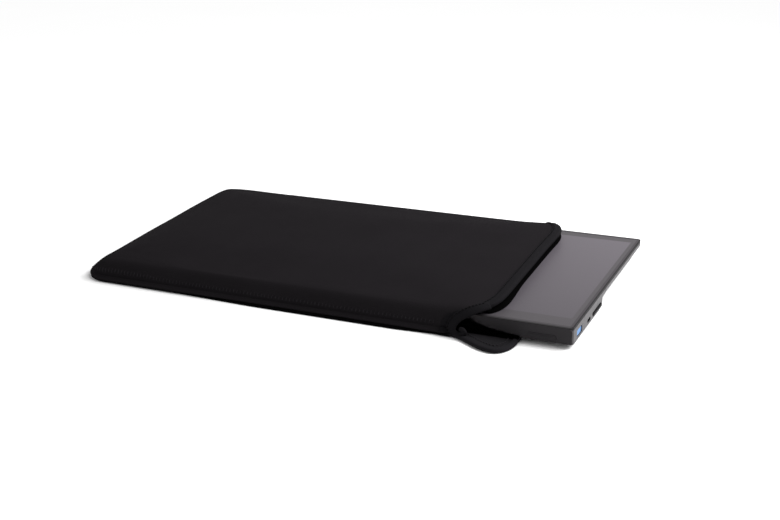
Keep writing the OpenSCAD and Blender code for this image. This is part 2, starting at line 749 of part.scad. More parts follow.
module seam_stitches() color("#4a474b") translate([0, 0, 2 * fabric_t]) {
    for (s = [-1, 1], k = [0:floor(straight_l / stitch_pitch)])
        translate([-half_l + sleeve_r + k * stitch_pitch, s * stitch_y - thread_d / 2, 0]) stitch();
    for (k = [0:floor(end_l / stitch_pitch) - 1]) let (y = -end_l / 2 + k * stitch_pitch)
        translate([-half_l + flange_w / 2 + thread_d / 2 - skew_at(-half_l, y), y, 0])
            rotate(90) stitch();
}

rear_cover();
front_frame();
front_bar();
screen_film();
border_mask();
lcd_cell();
diffuser_sheet();
light_guide();
reflector_sheet();
light_bar();
panel_tray();
driver_board();
display_cable();
main_board();
board_chips();
board_shield();
cable_socket();
usb_a_shell();
usb_a_tongue();
usb_c_shell();
usb_c_tongue();
status_light();
key_board();
key_switches();
key_pin();
foot_right();
foot_left();
cover_screws();
board_screws();
rocker_key();
sleeve_top_panel();
sleeve_bottom_panel();
mouth_binding_top();
mouth_binding_bottom();
seam_stitches();
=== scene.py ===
"""Looks of a slim portable monitor that is partly drawn out of its soft slip-on sleeve.

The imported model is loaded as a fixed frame. The sleeve's soft pieces are made here as numpy surfaces,
and every hard piece of the frame gets a procedural finish.
"""

import math

import bpy
import numpy as np
from bpy.props import FloatProperty, FloatVectorProperty, IntProperty, PointerProperty
from mathutils import Matrix, Vector


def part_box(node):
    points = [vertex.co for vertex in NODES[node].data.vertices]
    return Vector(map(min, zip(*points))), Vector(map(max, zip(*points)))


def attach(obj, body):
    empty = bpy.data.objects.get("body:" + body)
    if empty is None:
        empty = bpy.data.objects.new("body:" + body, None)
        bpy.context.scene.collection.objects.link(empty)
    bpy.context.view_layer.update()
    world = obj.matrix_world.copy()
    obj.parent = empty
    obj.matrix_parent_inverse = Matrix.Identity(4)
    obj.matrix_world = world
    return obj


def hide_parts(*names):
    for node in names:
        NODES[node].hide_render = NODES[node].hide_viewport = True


bl_info = {
    "name": "Portable monitor with sleeve",
    "version": (1, 0, 0),
    "blender": (4, 5, 0),
    "location": "3D View > Sidebar > Monitor",
    "description": "Makes the sleeve's soft pieces, the finishes and the stage of a portable monitor",
    "category": "Object",
}

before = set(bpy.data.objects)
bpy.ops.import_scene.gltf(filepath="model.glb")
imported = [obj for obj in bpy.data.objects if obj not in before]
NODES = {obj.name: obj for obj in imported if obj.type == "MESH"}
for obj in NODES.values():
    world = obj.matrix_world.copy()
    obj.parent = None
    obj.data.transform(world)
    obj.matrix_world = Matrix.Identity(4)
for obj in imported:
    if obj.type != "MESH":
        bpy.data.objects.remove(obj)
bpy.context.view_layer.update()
SCREEN_LOW, SCREEN_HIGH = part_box("lcd_cell")
COVER_LOW, COVER_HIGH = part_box("rear_cover")
MONITOR_TOP = COVER_HIGH.z
# Where the monitor's closed end lies when it is pushed all the way in, and 2 mm to spare
STOWED_END = COVER_LOW.x - 0.071
FLANGE_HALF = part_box("sleeve_top_panel")[1].y
# How far the panels' own edges stay behind the mouth's edge, under the binding
BOUND = 0.0021
# Thickness of the black sheets that stand for painted shade at the mouth
SHADE_SHEET_THICK = 0.0003
# Room between the monitor's top and what lies over it
OVER_MONITOR = 0.0003
# Half the thickness of the tape that rolls round the mouth's front corner
ROLL_HALF = 0.0017


# Sizes and colours


def length(name, text, value):
    """A size in metres, for a PropertyGroup."""
    return FloatProperty(name=name, description=text, default=value, unit="LENGTH", precision=5)


def linear(grey):
    """A display value of 0 to 255 as the linear value that a shader takes."""
    c = grey / 255
    return c / 12.92 if c <= 0.04045 else ((c + 0.055) / 1.055) ** 2.4


def colour(name, text, red, green, blue):
    """A colour that is written as display values from 0 to 255, for a PropertyGroup."""
    return FloatVectorProperty(name=name, description=text, subtype="COLOR", size=3, min=0, max=1,
        default=(linear(red), linear(green), linear(blue)))


class SleeveSizes(bpy.types.PropertyGroup):
    """Sizes of the soft sleeve."""

    half_length: length("Half length", "Middle of the sleeve to the seams at both its ends", 0.184)
    half_width: length("Half width", "Middle of the sleeve to its long seams", FLANGE_HALF)
    height: length("Height", "Table to the top of the filled sleeve", 0.0207)
    fabric: length("Fabric", "Thickness of the padded fabric", 0.003)
    flange: length("Flange", "Width of the flat stitched seam", 0.0038)
    wall: length("Wall", "How far the side wall leans in while it rises over the monitor", 0.0129)
    empty_wall: length("Empty wall", "How far the side wall leans in where the sleeve is empty", 0.0245)
    empty_back: length("Empty back wall", "The same at the back wall", 0.0165)
    crown: length("Crown", "How much higher the top stands along its middle", 0.005)
    droop: length("Droop", "How far the flange's outer edge hangs down", 0.0022)
    # The strip it shows is black with the lip mesh's painted shade, and stands for the shadow under the
    # flange's edge.
    under_edge: length("Under edge", "How far the lower layer shows past the upper one in front", 0.0028)
    corner: length("Corner", "Radius of the closed front corner", 0.028)
    back_corner: length("Back corner", "Radius of the closed back corner", 0.04)
    end_run: length("End run", "Length of the slope at the closed end", 0.027)
    end_skew: length("End skew", "How much further the closed end reaches at its back corner", 0.012)
    mouth_bow: length("Mouth bow", "How far the mouth's middle stands out past the seams", 0.0225)
    mouth_lean: length("Mouth lean", "How much further the mouth stands out towards the front", 0.0035)
    mouth_rise: length("Mouth rise", "Extra height of the mouth's rim", 0.0012)
    front_cut: length("Front cut", "How far the mouth's front seam stops short", 0.009)
    back_cut: length("Back cut", "How far the mouth's back seam stops short", 0.005)
    swell: length("Swell", "How far the padding may swell at most", 0.0022)


class TapeSizes(bpy.types.PropertyGroup):
    """Sizes of the mouth's binding and of the sewing."""

    width: length("Tape width", "Width of the binding along the upper mouth edge", 0.0085)
    turned: length("Tape turned in", "How far the upper binding reaches back inside", 0.004)
    lip_width: length("Lip tape width", "Width of the binding along the lip", 0.0042)
    lip_row: length("Lip row", "Distance of the lip's stitches from its edge", 0.0085)
    thickness: length("Tape thickness", "Thickness of the binding", 0.0006)
    thread: length("Thread", "Radius of the sewing thread", 0.0004)
    pitch: length("Pitch", "Distance from one stitch to the next along the binding", 0.0031)
    edge_pitch: length("Edge pitch", "Distance from one stitch to the next along the seam", 0.0034)
    tongue_out: length("Tongue out", "How far the lower lip stands out past the seams", 0.0475)
    tongue_side: length("Tongue side", "How far the lower lip stands out to the front", 0.0185)
    tongue_corner: length("Tongue corner", "Size of the lower lip's outer corner", 0.0145)


class GridSizes(bpy.types.PropertyGroup):
    """How finely the soft pieces are drawn."""

    along: IntProperty(name="Along", description="Rows along the sleeve", default=112, min=30)
    middle: IntProperty(name="Middle", description="Columns across the sleeve's top", default=76, min=20)
    wall: IntProperty(name="Wall", description="Columns up one side wall", default=13, min=6)
    steps: IntProperty(name="Steps", description="Steps of the padding's simulation", default=16, min=1)


class SoftColours(bpy.types.PropertyGroup):
    """Colours of the sleeve."""

    fabric: colour("Fabric", "Outside of the sleeve", 27, 25, 27)
    # The lining is dark, and drawn nearly black as painted shade of the sleeve's inside; the black sheets
    # that stand for shade at the mouth use this colour too.
    lining: colour("Lining", "Inside of the sleeve", 1, 1, 1)
    mesh: colour("Mesh", "Upper side of the lip", 30, 29, 31)
    tape: colour("Tape", "Binding along the mouth", 20, 19, 21)
    thread: colour("Thread", "Sewing thread", 37, 35, 38)


class HardColours(bpy.types.PropertyGroup):
    """Colours of the monitor."""

    cover: colour("Cover", "Rear cover", 62, 60, 62)
    trim: colour("Trim", "Edge round the screen", 54, 51, 54)
    bar: colour("Bar", "Front bar", 40, 38, 40)
    film: colour("Film", "Lit area of the screen, switched off", 74, 70, 75)
    border: colour("Border", "Dark border round the lit area", 61, 58, 61)
    rubber: colour("Rubber", "Rubber feet", 38, 36, 38)
    key: colour("Key", "Rocker key", 3, 3, 4)
    blue: colour("Blue", "Inside of the wide port", 46, 104, 158)
    port: colour("Port", "Shells of the ports", 150, 148, 150)


def sizes():
    """Sizes of the sleeve."""
    return bpy.context.scene.sleeve_sizes


def tape():
    """Sizes of the binding and the sewing."""
    return bpy.context.scene.tape_sizes


# Shader maths


class Value:
    """A number from a shader socket. Arithmetic on it adds Math nodes to its material."""

    def __init__(self, shade, socket):
        self.shade = shade
        self.socket = socket

    def maths(self, operation, *others):
        values = {0: self}
        values.update({i + 1: other for i, other in enumerate(others)})
        return self.shade.value("ShaderNodeMath", {"operation": operation}, values)

    def __add__(self, other):
        return self.maths("ADD", other)

    def __sub__(self, other):
        return self.maths("SUBTRACT", other)

    def __mul__(self, other):
        return self.maths("MULTIPLY", other)

    def __truediv__(self, other):
        return self.maths("DIVIDE", other)

    def __rsub__(self, other):
        return self.maths("MULTIPLY", -1.0).maths("ADD", other)

    def sine(self):
        return self.maths("SINE")

    def size(self):
        return self.maths("ABSOLUTE")

    def above(self, edge, soft):
        """0 below edge, 1 above edge + soft, and smooth between them."""
        return self.shade.value("ShaderNodeMapRange", {"interpolation_type": "SMOOTHSTEP"},
            {"Value": self, "From Min": edge, "From Max": edge + soft})

    def below(self, edge, soft):
        """1 below edge - soft, 0 above edge, and smooth between them."""
        return self.shade.value("ShaderNodeMapRange", {"interpolation_type": "SMOOTHSTEP"},
            {"Value": self, "From Min": edge - soft, "From Max": edge, "To Min": 1.0, "To Max": 0.0})


class Shade:
    """One material, or the world, and the nodes in it."""

    def __init__(self, name, owner=None):
        self.owner = owner or bpy.data.materials.new(name)
        self.owner.use_nodes = True
        self.tree = self.owner.node_tree
        self.tree.nodes.clear()

    def node(self, kind, settings=None, sockets=None):
        """A node of a kind: its settings are set first, then its sockets are given values or links."""
        made = self.tree.nodes.new(kind)
        for key, value in (settings or {}).items():
            if key == "stops":
                stops = made.color_ramp.elements
                while len(stops) < len(value):
                    stops.new(0.5)
                for stop, (place, shade) in zip(stops, value):
                    stop.position = place
                    stop.color = (*shade, 1.0)
            else:
                setattr(made, key, value)
        for key, value in (sockets or {}).items():
            if isinstance(value, Value):
                self.tree.links.new(value.socket, made.inputs[key])
            else:
                made.inputs[key].default_value = value
        return made

    def value(self, kind, settings=None, sockets=None, output=0):
        """The same, as the value of one of the node's outputs."""
        return Value(self, self.node(kind, settings, sockets).outputs[output])

    def place(self, output="Object"):
        return self.value("ShaderNodeTexCoord", output=output)

    def axes(self, place):
        """The three numbers of a place."""
        node = self.node("ShaderNodeSeparateXYZ", None, {0: place})
        return [Value(self, out) for out in node.outputs]

    def noise(self, place, scale, detail=3.0, roughness=0.55):
        return self.value("ShaderNodeTexNoise", None,
            {"Vector": place, "Scale": scale, "Detail": detail, "Roughness": roughness})

    def stretched(self, place, along):
        """A place whose axes are scaled, so that a pattern runs along one of them."""
        return self.value("ShaderNodeMapping", None, {"Vector": place, "Scale": along})

    def blend(self, share, low, high):
        """A colour between two colours, which are given as three numbers or as values."""
        ends = {}
        for key, end in ((6, low), (7, high)):
            ends[key] = end if isinstance(end, Value) else (*end, 1.0)
        return self.value("ShaderNodeMix", {"data_type": "RGBA"}, {0: share, **ends}, output=2)

    def bump(self, height, strength, distance):
        return self.value("ShaderNodeBump", None,
            {"Height": height, "Strength": strength, "Distance": distance})

    def surface(self, **sockets):
        """Ends the material with one Principled BSDF, whose sockets are named with _ for a space."""
        named = {key.replace("_", " "): value for key, value in sockets.items()}
        for key, value in named.items():
            if isinstance(value, tuple) and len(value) == 3:
                named[key] = (*value, 1.0)
        shader = self.value("ShaderNodeBsdfPrincipled", None, named)
        self.node("ShaderNodeOutputMaterial", None, {"Surface": shader})
        return self.owner


def scaled(shade, factor):
    """A colour made lighter or darker by a factor."""
    return tuple(min(1.0, c * factor) for c in shade)


# Finishes


def knit_fabric(name, shade, pitch, relief, contrast=1.0, painted_shade_end=None):
    """Fine knit: rows of slanted loops from two sines across the piece's own UV map, with fluff noise.
    Up to a given x inside the sleeve, and under the monitor, the fabric is painted black as painted shade,
    as dark as the lining."""
    s = Shade(name)
    u, v, _ = s.axes(s.place("UV"))
    rows = (v * (2 * math.pi / pitch)).sine()
    loops = ((u + rows * (0.22 * pitch)) * (2 * math.pi / (1.3 * pitch))).sine()
    knit = (rows * loops) * 0.5 + 0.5
    here = s.place()
    fluff = s.noise(here, 2600.0, 2.0, 0.7)
    cloud = s.noise(here, 28.0, 3.0, 0.6)
    lint = s.noise(here, 900.0, 1.0, 0.5).above(0.74, 0.05)
    mask = knit * 0.35 + fluff * 0.35 + cloud * 0.45 - 0.12
    tone = s.blend(mask, scaled(shade, 1 - 0.26 * contrast), scaled(shade, 1 + 0.22 * contrast))
    tone = s.blend(lint * 0.5, tone, scaled(shade, 2.1))
    if painted_shade_end is not None:
        # Painted shade: inside the sleeve, along the lower layer's strip under the front flange, and under
        # the monitor the colour turns black.
        x, y, _ = s.axes(here)
        painted_shade_mask = x.below(painted_shade_end, 0.006) * x.above(-0.1, 0.05)
        painted_shade_mask = painted_shade_mask.maths("MAXIMUM", y.above(COVER_LOW.y - 0.007, 0.005))
        tone = s.blend(painted_shade_mask, tone, scaled(shade, 0.12))
    return s.surface(Base_Color=tone, Roughness=fluff * 0.12 + 0.85, Specular_IOR_Level=0.01,
        Normal=s.bump(knit * 0.7 + fluff * 0.5, 0.55, relief))


def painted_shade_sheet(name, shade):
    """Black sheet that stands for painted shade, and fades out towards its free edge as a soft shadow does.
    """
    s = Shade(name)
    share, _, _ = s.axes(s.place("UV"))
    fluff = s.noise(s.place(), 2600.0, 2.0, 0.7)
    return s.surface(Base_Color=s.blend(fluff, scaled(shade, 0.6), scaled(shade, 1.4)), Roughness=0.95,
        Specular_IOR_Level=0.0, Alpha=(share + fluff * 0.16 - 0.08).below(0.97, 0.5))


def ribbed_tape(name, shade):
    """Woven tape: ribs across its run and finer ones along it, from its own UV map, and worn places."""
    s = Shade(name)
    u, v, _ = s.axes(s.place("UV"))
    ribs = (v * (2 * math.pi / 0.0011)).sine() * 0.5 + 0.5
    warp = (u * (2 * math.pi / 0.0007)).sine() * 0.5 + 0.5
    fluff = s.noise(s.place(), 2200.0, 2.0, 0.7)
    worn = s.noise(s.place(), 45.0, 3.0, 0.6)
    mask = ribs * 0.4 + warp * 0.15 + fluff * 0.2 + worn * 0.4 - 0.1
    return s.surface(Base_Color=s.blend(mask, scaled(shade, 0.7), scaled(shade, 1.3)),
        Roughness=worn * 0.2 + 0.72, Specular_IOR_Level=0.02,
        Normal=s.bump(ribs * 0.8 + warp * 0.3 + fluff * 0.2, 0.5, 0.00012))


def twisted_thread(name, shade):
    """Twisted thread: slanted stripes and fluff."""
    s = Shade(name)
    x, y, z = s.axes(s.place())
    twist = ((x + y + z * 0.6) * (2 * math.pi / 0.0005)).sine() * 0.5 + 0.5
    fluff = s.noise(s.place(), 3000.0, 2.0, 0.6)
    tone = s.blend(twist * 0.6 + fluff * 0.4, scaled(shade, 0.7), scaled(shade, 1.3))
    return s.surface(Base_Color=tone, Roughness=fluff * 0.2 + 0.6, Specular_IOR_Level=0.04,
        Normal=s.bump(twist, 0.5, 0.00008))


def blasted_metal(name, shade, front):
    """Bead-blasted, painted metal: a fine even grain, faint clouds and rubbed places. Its thin front rim
    and the upper edge of both its ends are painted like the front bar."""
    s = Shade(name)
    here = s.place()
    x, y, z = s.axes(here)
    rim = y.below(COVER_LOW.y + 0.0026, 0.0004) * x.below(COVER_HIGH.x - 0.0006, 0.0004)
    middle = (COVER_LOW.x + COVER_HIGH.x) / 2
    ends = (x - middle).size().above(COVER_HIGH.x - middle - 0.0014, 0.0002)
    rim = rim.maths("MAXIMUM", ends * z.above(COVER_HIGH.z - 0.0022, 0.0003))
    grain = s.noise(here, 5200.0, 2.0, 0.7)
    cloud = s.noise(here, 18.0, 4.0, 0.55)
    rubbed = s.noise(here, 90.0, 3.0, 0.6).above(0.62, 0.12)
    tone = s.blend(grain * 0.5 + cloud * 0.5, scaled(shade, 0.88), scaled(shade, 1.12))
    tone = s.blend(rubbed * 0.25, tone, scaled(shade, 1.2))
    return s.surface(Base_Color=s.blend(rim, tone, front), Metallic=(1.0 - rim) * 0.2,
        Specular_IOR_Level=0.15, Roughness=grain * 0.12 + rubbed * 0.08 + rim * 0.3 + 0.45 - 0.08,
        Normal=s.bump(grain, 0.25, 0.00006))


def moulded_plastic(name, shade, rough=0.5, scale=2400.0, relief=0.00005, gloss=0.4):
    """Moulded plastic or rubber: fine spark-eroded grain, with slow changes of gloss."""
    s = Shade(name)
    here = s.place()
    grain = s.noise(here, scale, 2.0, 0.65)
    slow = s.noise(here, 22.0, 3.0, 0.5)
    tone = s.blend(grain * 0.4 + slow * 0.6, scaled(shade, 0.85), scaled(shade, 1.15))
    return s.surface(Base_Color=tone, Roughness=grain * 0.15 + slow * 0.1 + rough - 0.12,
        Specular_IOR_Level=gloss, Normal=s.bump(grain, 0.35, relief))


def matte_screen(name, lit, border):
    """Matte film over the switched-off screen: fine sparkle, and the border printed beneath it."""
    s = Shade(name)
    here = s.place()
    x, y, _ = s.axes(here)
    rim = 0.0024
    low = (SCREEN_LOW.x + rim, SCREEN_LOW.y + rim)
    high = (SCREEN_HIGH.x - rim, SCREEN_HIGH.y - rim)
    soft = 0.0007
    inside = x.above(low[0], soft) * x.below(high[0], soft)
    inside = inside * y.above(low[1], soft) * y.below(high[1], soft)
    sparkle = s.noise(here, 6000.0, 1.0, 0.5)
    cloud = s.noise(here, 6.0, 2.0, 0.5)
    # The lit area is a little paler towards the back, where it looks up at a paler room
    deep = (y - low[1]) / (high[1] - low[1])
    panel = s.blend(deep * 0.85 + cloud * 0.15, scaled(lit, 0.8), scaled(lit, 1.3))
    panel = s.blend(sparkle * 0.25, panel, scaled(lit, 1.3))
    edge = s.blend(sparkle * 0.3, border, scaled(border, 1.3))
    return s.surface(Base_Color=s.blend(inside, edge, panel), Roughness=sparkle * 0.08 + 0.42,
        Specular_IOR_Level=0.12, Normal=s.bump(sparkle, 0.12, 0.00002))


def circuit_board(name, shade):
    """Lacquered board: traces in two directions under the lacquer and pale solder dots."""
    s = Shade(name)
    here = s.place()
    x, y, _ = s.axes(here)
    wander = s.noise(here, 160.0, 2.0, 0.5)
    lines = ((x + wander * 0.002) * (2 * math.pi / 0.0014)).sine().above(0.35, 0.2)
    cross = ((y + wander * 0.002) * (2 * math.pi / 0.0018)).sine().above(0.55, 0.2)
    dots = s.noise(here, 900.0, 1.0, 0.4).above(0.68, 0.03)
    tone = s.blend(lines * 0.6 + cross * 0.4, shade, scaled(shade, 1.9))
    return s.surface(Base_Color=s.blend(dots, tone, (0.5, 0.48, 0.42)), Roughness=0.42 - dots * 0.12,
        Metallic=dots * 0.8, Normal=s.bump(lines * 0.5 + cross * 0.5, 0.4, 0.00005))


def brushed_steel(name, shade, along):
    """Rolled or brushed steel: noise drawn out along one direction."""
    s = Shade(name)
    lines = s.noise(s.stretched(s.place(), along), 60.0, 3.0, 0.6)
    grain = s.noise(s.place(), 1500.0, 2.0, 0.6)
    tone = s.blend(lines * 0.7 + grain * 0.3, scaled(shade, 0.8), scaled(shade, 1.15))
    return s.surface(Base_Color=tone, Metallic=0.9, Roughness=lines * 0.2 + 0.22,
        Normal=s.bump(lines, 0.2, 0.00004))


def striped_cable(name, shade):
    """Flat cable: thin conductors side by side in a clear tape."""
    s = Shade(name)
    x, _, _ = s.axes(s.place())
    wires = (x * (2 * math.pi / 0.001)).sine().above(0.0, 0.4)
    grain = s.noise(s.place(), 800.0, 2.0, 0.5)
    return s.surface(Base_Color=s.blend(wires, scaled(shade, 0.8), scaled(shade, 1.4)),
        Roughness=grain * 0.2 + 0.3, Normal=s.bump(wires, 0.3, 0.00005))


def lamp_strip(name):
    """Strip of lamps: pale yellow phosphor that is spotted with darker joints."""
    s = Shade(name)
    x, _, _ = s.axes(s.place())
    lamps = (x * (2 * math.pi / 0.0083)).sine().above(-0.3, 0.3)
    grain = s.noise(s.place(), 700.0, 2.0, 0.6)
    return s.surface(Base_Color=s.blend(lamps, (0.55, 0.55, 0.5), (0.82, 0.68, 0.2)),
        Roughness=grain * 0.3 + 0.3, Normal=s.bump(grain, 0.2, 0.00004))


# Meshes


def grid_faces(rows, columns, start=0, turned=False):
    """Quads of a grid whose rows are listed one after the other. Turned, they face the other way."""
    i = np.arange(rows - 1)[:, None] * columns + np.arange(columns - 1)[None, :] + start
    quads = np.stack([i, i + columns, i + columns + 1, i + 1], -1).reshape(-1, 4)
    return quads[:, ::-1] if turned else quads


def new_piece(name, points, quads, uv, materials, kinds=None):
    """A mesh object from points, quads and one UV place per point, with a material index per quad."""
    mesh = bpy.data.meshes.new(name)
    mesh.vertices.add(len(points))
    mesh.vertices.foreach_set("co", np.asarray(points, np.float32).ravel())
    mesh.loops.add(quads.size)
    mesh.loops.foreach_set("vertex_index", quads.astype(np.int32).ravel())
    mesh.polygons.add(len(quads))
    mesh.polygons.foreach_set("loop_start", np.arange(0, quads.size, quads.shape[1], dtype=np.int32))
    mesh.update(calc_edges=True)
    layer = mesh.uv_layers.new(name="own")
    layer.data.foreach_set("uv", np.asarray(uv, np.float32)[quads.ravel()].ravel())
    for material in materials:
        mesh.materials.append(material)
    if kinds is not None:
        mesh.polygons.foreach_set("material_index", np.asarray(kinds, np.int32))
    mesh.polygons.foreach_set("use_smooth", np.ones(len(quads), bool))
    mesh.validate()
    piece = bpy.data.objects.new(name, mesh)
    bpy.context.scene.collection.objects.link(piece)
    return piece


def unit(vectors):
    """Vectors at length 1."""
    return vectors / np.maximum(np.linalg.norm(vectors, axis=-1, keepdims=True), 1e-12)


def grid_normals(points):
    """Cross product of a grid's two directions, at length 1. Rows run along X and columns along Y."""
    return unit(np.cross(np.gradient(points, axis=0), np.gradient(points, axis=1)))


def arc_uv(points):
    """UV in metres: the lengths walked along the grid's middle column and middle row."""
    along = np.linalg.norm(np.diff(points, axis=0), axis=-1).mean(1)
    across = np.linalg.norm(np.diff(points, axis=1), axis=-1).mean(0)
    u = np.concatenate([[0], np.cumsum(along)])
    v = np.concatenate([[0], np.cumsum(across)])
    return np.stack(np.broadcast_arrays(u[:, None], v[None, :]), -1)


def border_of(rows, columns):
    """Numbers of a grid's border points, once round it, and of each one's neighbour further in."""
    i = np.arange(rows * columns).reshape(rows, columns)
    ring = np.concatenate([i[0, :-1], i[:-1, -1], i[-1, :0:-1], i[:0:-1, 0]])
    r, c = ring // columns, ring % columns
    return ring, np.clip(r, 1, rows - 2) * columns + np.clip(c, 1, columns - 2)


def thick_sheet(name, outer, inner, materials, roundness=0.8, rim_rows=3, uv=None):
    """A closed sheet between an outer and an inner grid. Its rim follows half an ellipse from one to the
    other: middle + cos(a) * half thickness + sin(a) * roundness * half thickness * outward."""
    rows, columns, _ = outer.shape
    ring, further = border_of(rows, columns)
    top, under = outer.reshape(-1, 3), inner.reshape(-1, 3)
    middle = (top[ring] + under[ring]) / 2
    half = (top[ring] - under[ring]) / 2
    outward = unit(middle - (top[further] + under[further]) / 2)
    across = unit(half)
    outward = unit(outward - across * (outward * across).sum(-1, keepdims=True))
    angle = np.linspace(0, math.pi, rim_rows + 2)[1:-1, None, None]
    reach = np.linalg.norm(half, axis=-1, keepdims=True) * roundness
    rim = middle + np.cos(angle) * half + np.sin(angle) * reach * outward
    points = np.concatenate([top, under, rim.reshape(-1, 3)])
    n, m = rows * columns, len(ring)
    loops = [ring] + [2 * n + k * m + np.arange(m) for k in range(rim_rows)] + [n + ring]
    strips = [np.stack([a, np.roll(a, -1), np.roll(b, -1), b], -1) for a, b in zip(loops, loops[1:])]
    quads = np.concatenate([grid_faces(rows, columns), grid_faces(rows, columns, n, True), *strips])
    uv = (arc_uv(outer) if uv is None else uv).reshape(-1, 2)
    uv = np.concatenate([uv, uv, np.tile(uv[ring], (rim_rows, 1))])
    kinds = np.zeros(len(quads), int)
    kinds[(rows - 1) * (columns - 1):2 * (rows - 1) * (columns - 1)] = min(1, len(materials) - 1)
    return new_piece(name, points, quads, uv, materials, kinds)


def threads(name, starts, ends, normals, radius, material):
    """Stitches: each is a six-sided thread whose axis goes straight from its start to its end and
    rises along the normal by (1.3 sin(pi t) - 0.35) * radius."""
    t = np.linspace(0, 1, 6)[None, :, None]
    axis = starts[:, None] + (ends - starts)[:, None] * t
    lift = (np.sin(math.pi * t) * 1.3 - 0.35) * radius
    axis = axis + normals[:, None] * lift
    side = unit(np.cross(normals, ends - starts))[:, None, None]
    up = normals[:, None, None]
    a = (np.arange(6) * math.pi / 3)[None, None, :, None]
    thin = (0.55 + 0.45 * np.sin(math.pi * t))[:, :, None]
    points = axis[:, :, None] + radius * thin * (np.cos(a) * side + np.sin(a) * up)
    n = len(starts)
    ring = np.arange(6)
    tube = np.stack([ring, np.roll(ring, -1), np.roll(ring, -1) + 6, ring + 6], -1)
    tube = (tube[None] + (np.arange(5) * 6)[:, None, None]).reshape(-1, 4)
    caps = np.array([[0, 5, 4, 1], [1, 4, 3, 2], [30, 31, 34, 35], [31, 32, 33, 34]])
    quads = np.concatenate([tube, caps])
    quads = (quads[None] + (np.arange(n) * 36)[:, None, None]).reshape(-1, 4)
    flat = points.reshape(-1, 3)
    return new_piece(name, flat, quads, flat[:, :2], [material])


# Shape of the sleeve


def smooth(t):
    """Goes from 0 to 1 with t, level at both ends."""
    t = np.clip(t, 0, 1)
    return t * t * (3 - 2 * t)


def catmull(points, count):
    """A smooth curve through points: between two of them it is the Catmull-Rom cubic."""
    p = np.asarray(points, float)
    p = np.concatenate([2 * p[:1] - p[1:2], p, 2 * p[-1:] - p[-2:-1]])
    t = np.linspace(0, len(p) - 3 - 1e-9, count)
    i = t.astype(int)
    u = (t - i).reshape(-1, *[1] * (p.ndim - 1))
    a, b, c, d = p[i], p[i + 1], p[i + 2], p[i + 3]
    return 0.5 * (2 * b + (c - a) * u + (2 * a - 5 * b + 4 * c - d) * u ** 2
        + (3 * b - a - 3 * c + d) * u ** 3)


def end_skew(form, x, y):
    """How much further out the closed half reaches: it grows with the square of -x and with y."""
    grown = np.clip(-x / form.half_length, 0, 1) ** 2
    return form.end_skew * grown * np.clip((y + 0.085) / 0.18, 0, 1.1)


def across_places(form, grid):
    """Columns from a seam up one side wall: distance across the flange, and the angle up the wall."""
    flange = np.linspace(0, form.flange, 7)
    angle = np.linspace(0, math.pi / 2, grid.wall + 1)[1:]
    return np.concatenate([flange, angle * 0 + form.flange]), np.concatenate([flange * 0, angle])


def mouth_edge(form, y):
    """X of the mouth's edge over y: it stands out in the middle, more so towards the front, and falls
    back to both seams. The corners' shares of that fall are read off a smoothed line of points."""
    front = np.interp(y + form.half_width,
        np.array([0, 5.2, 6.0, 7.5, 10, 14, 20, 30, 42]) / 1000,
        [1.0, 0.93, 0.84, 0.68, 0.47, 0.28, 0.13, 0.03, 0.0])
    back = np.interp(form.half_width - y,
        np.array([0, 5.2, 9, 14, 20, 28, 38, 52]) / 1000,
        [1.0, 0.86, 0.68, 0.5, 0.32, 0.16, 0.06, 0.0])
    for _ in range(6):
        for fall in (front, back):
            fall[1:-1] = (fall[:-2] + 2 * fall[1:-1] + fall[2:]) / 4
    lean = form.mouth_lean * smooth(0.5 - y / 0.16)
    middle = form.half_length + form.mouth_bow + lean
    return (middle - front * (middle - form.half_length + form.front_cut)
        - back * (middle - form.half_length + form.back_cut))


def outline(form, x, side):
    """Half width of the sleeve over x, drawn in along a circle at the closed corner of that side: side
    is negative in front and positive at the back."""
    radius = np.where(np.asarray(side) > 0, form.back_corner, form.corner)
    d = np.maximum(radius - (x + form.half_length), 0)
    return form.half_width - radius + np.sqrt(np.maximum(radius ** 2 - d ** 2, 0))


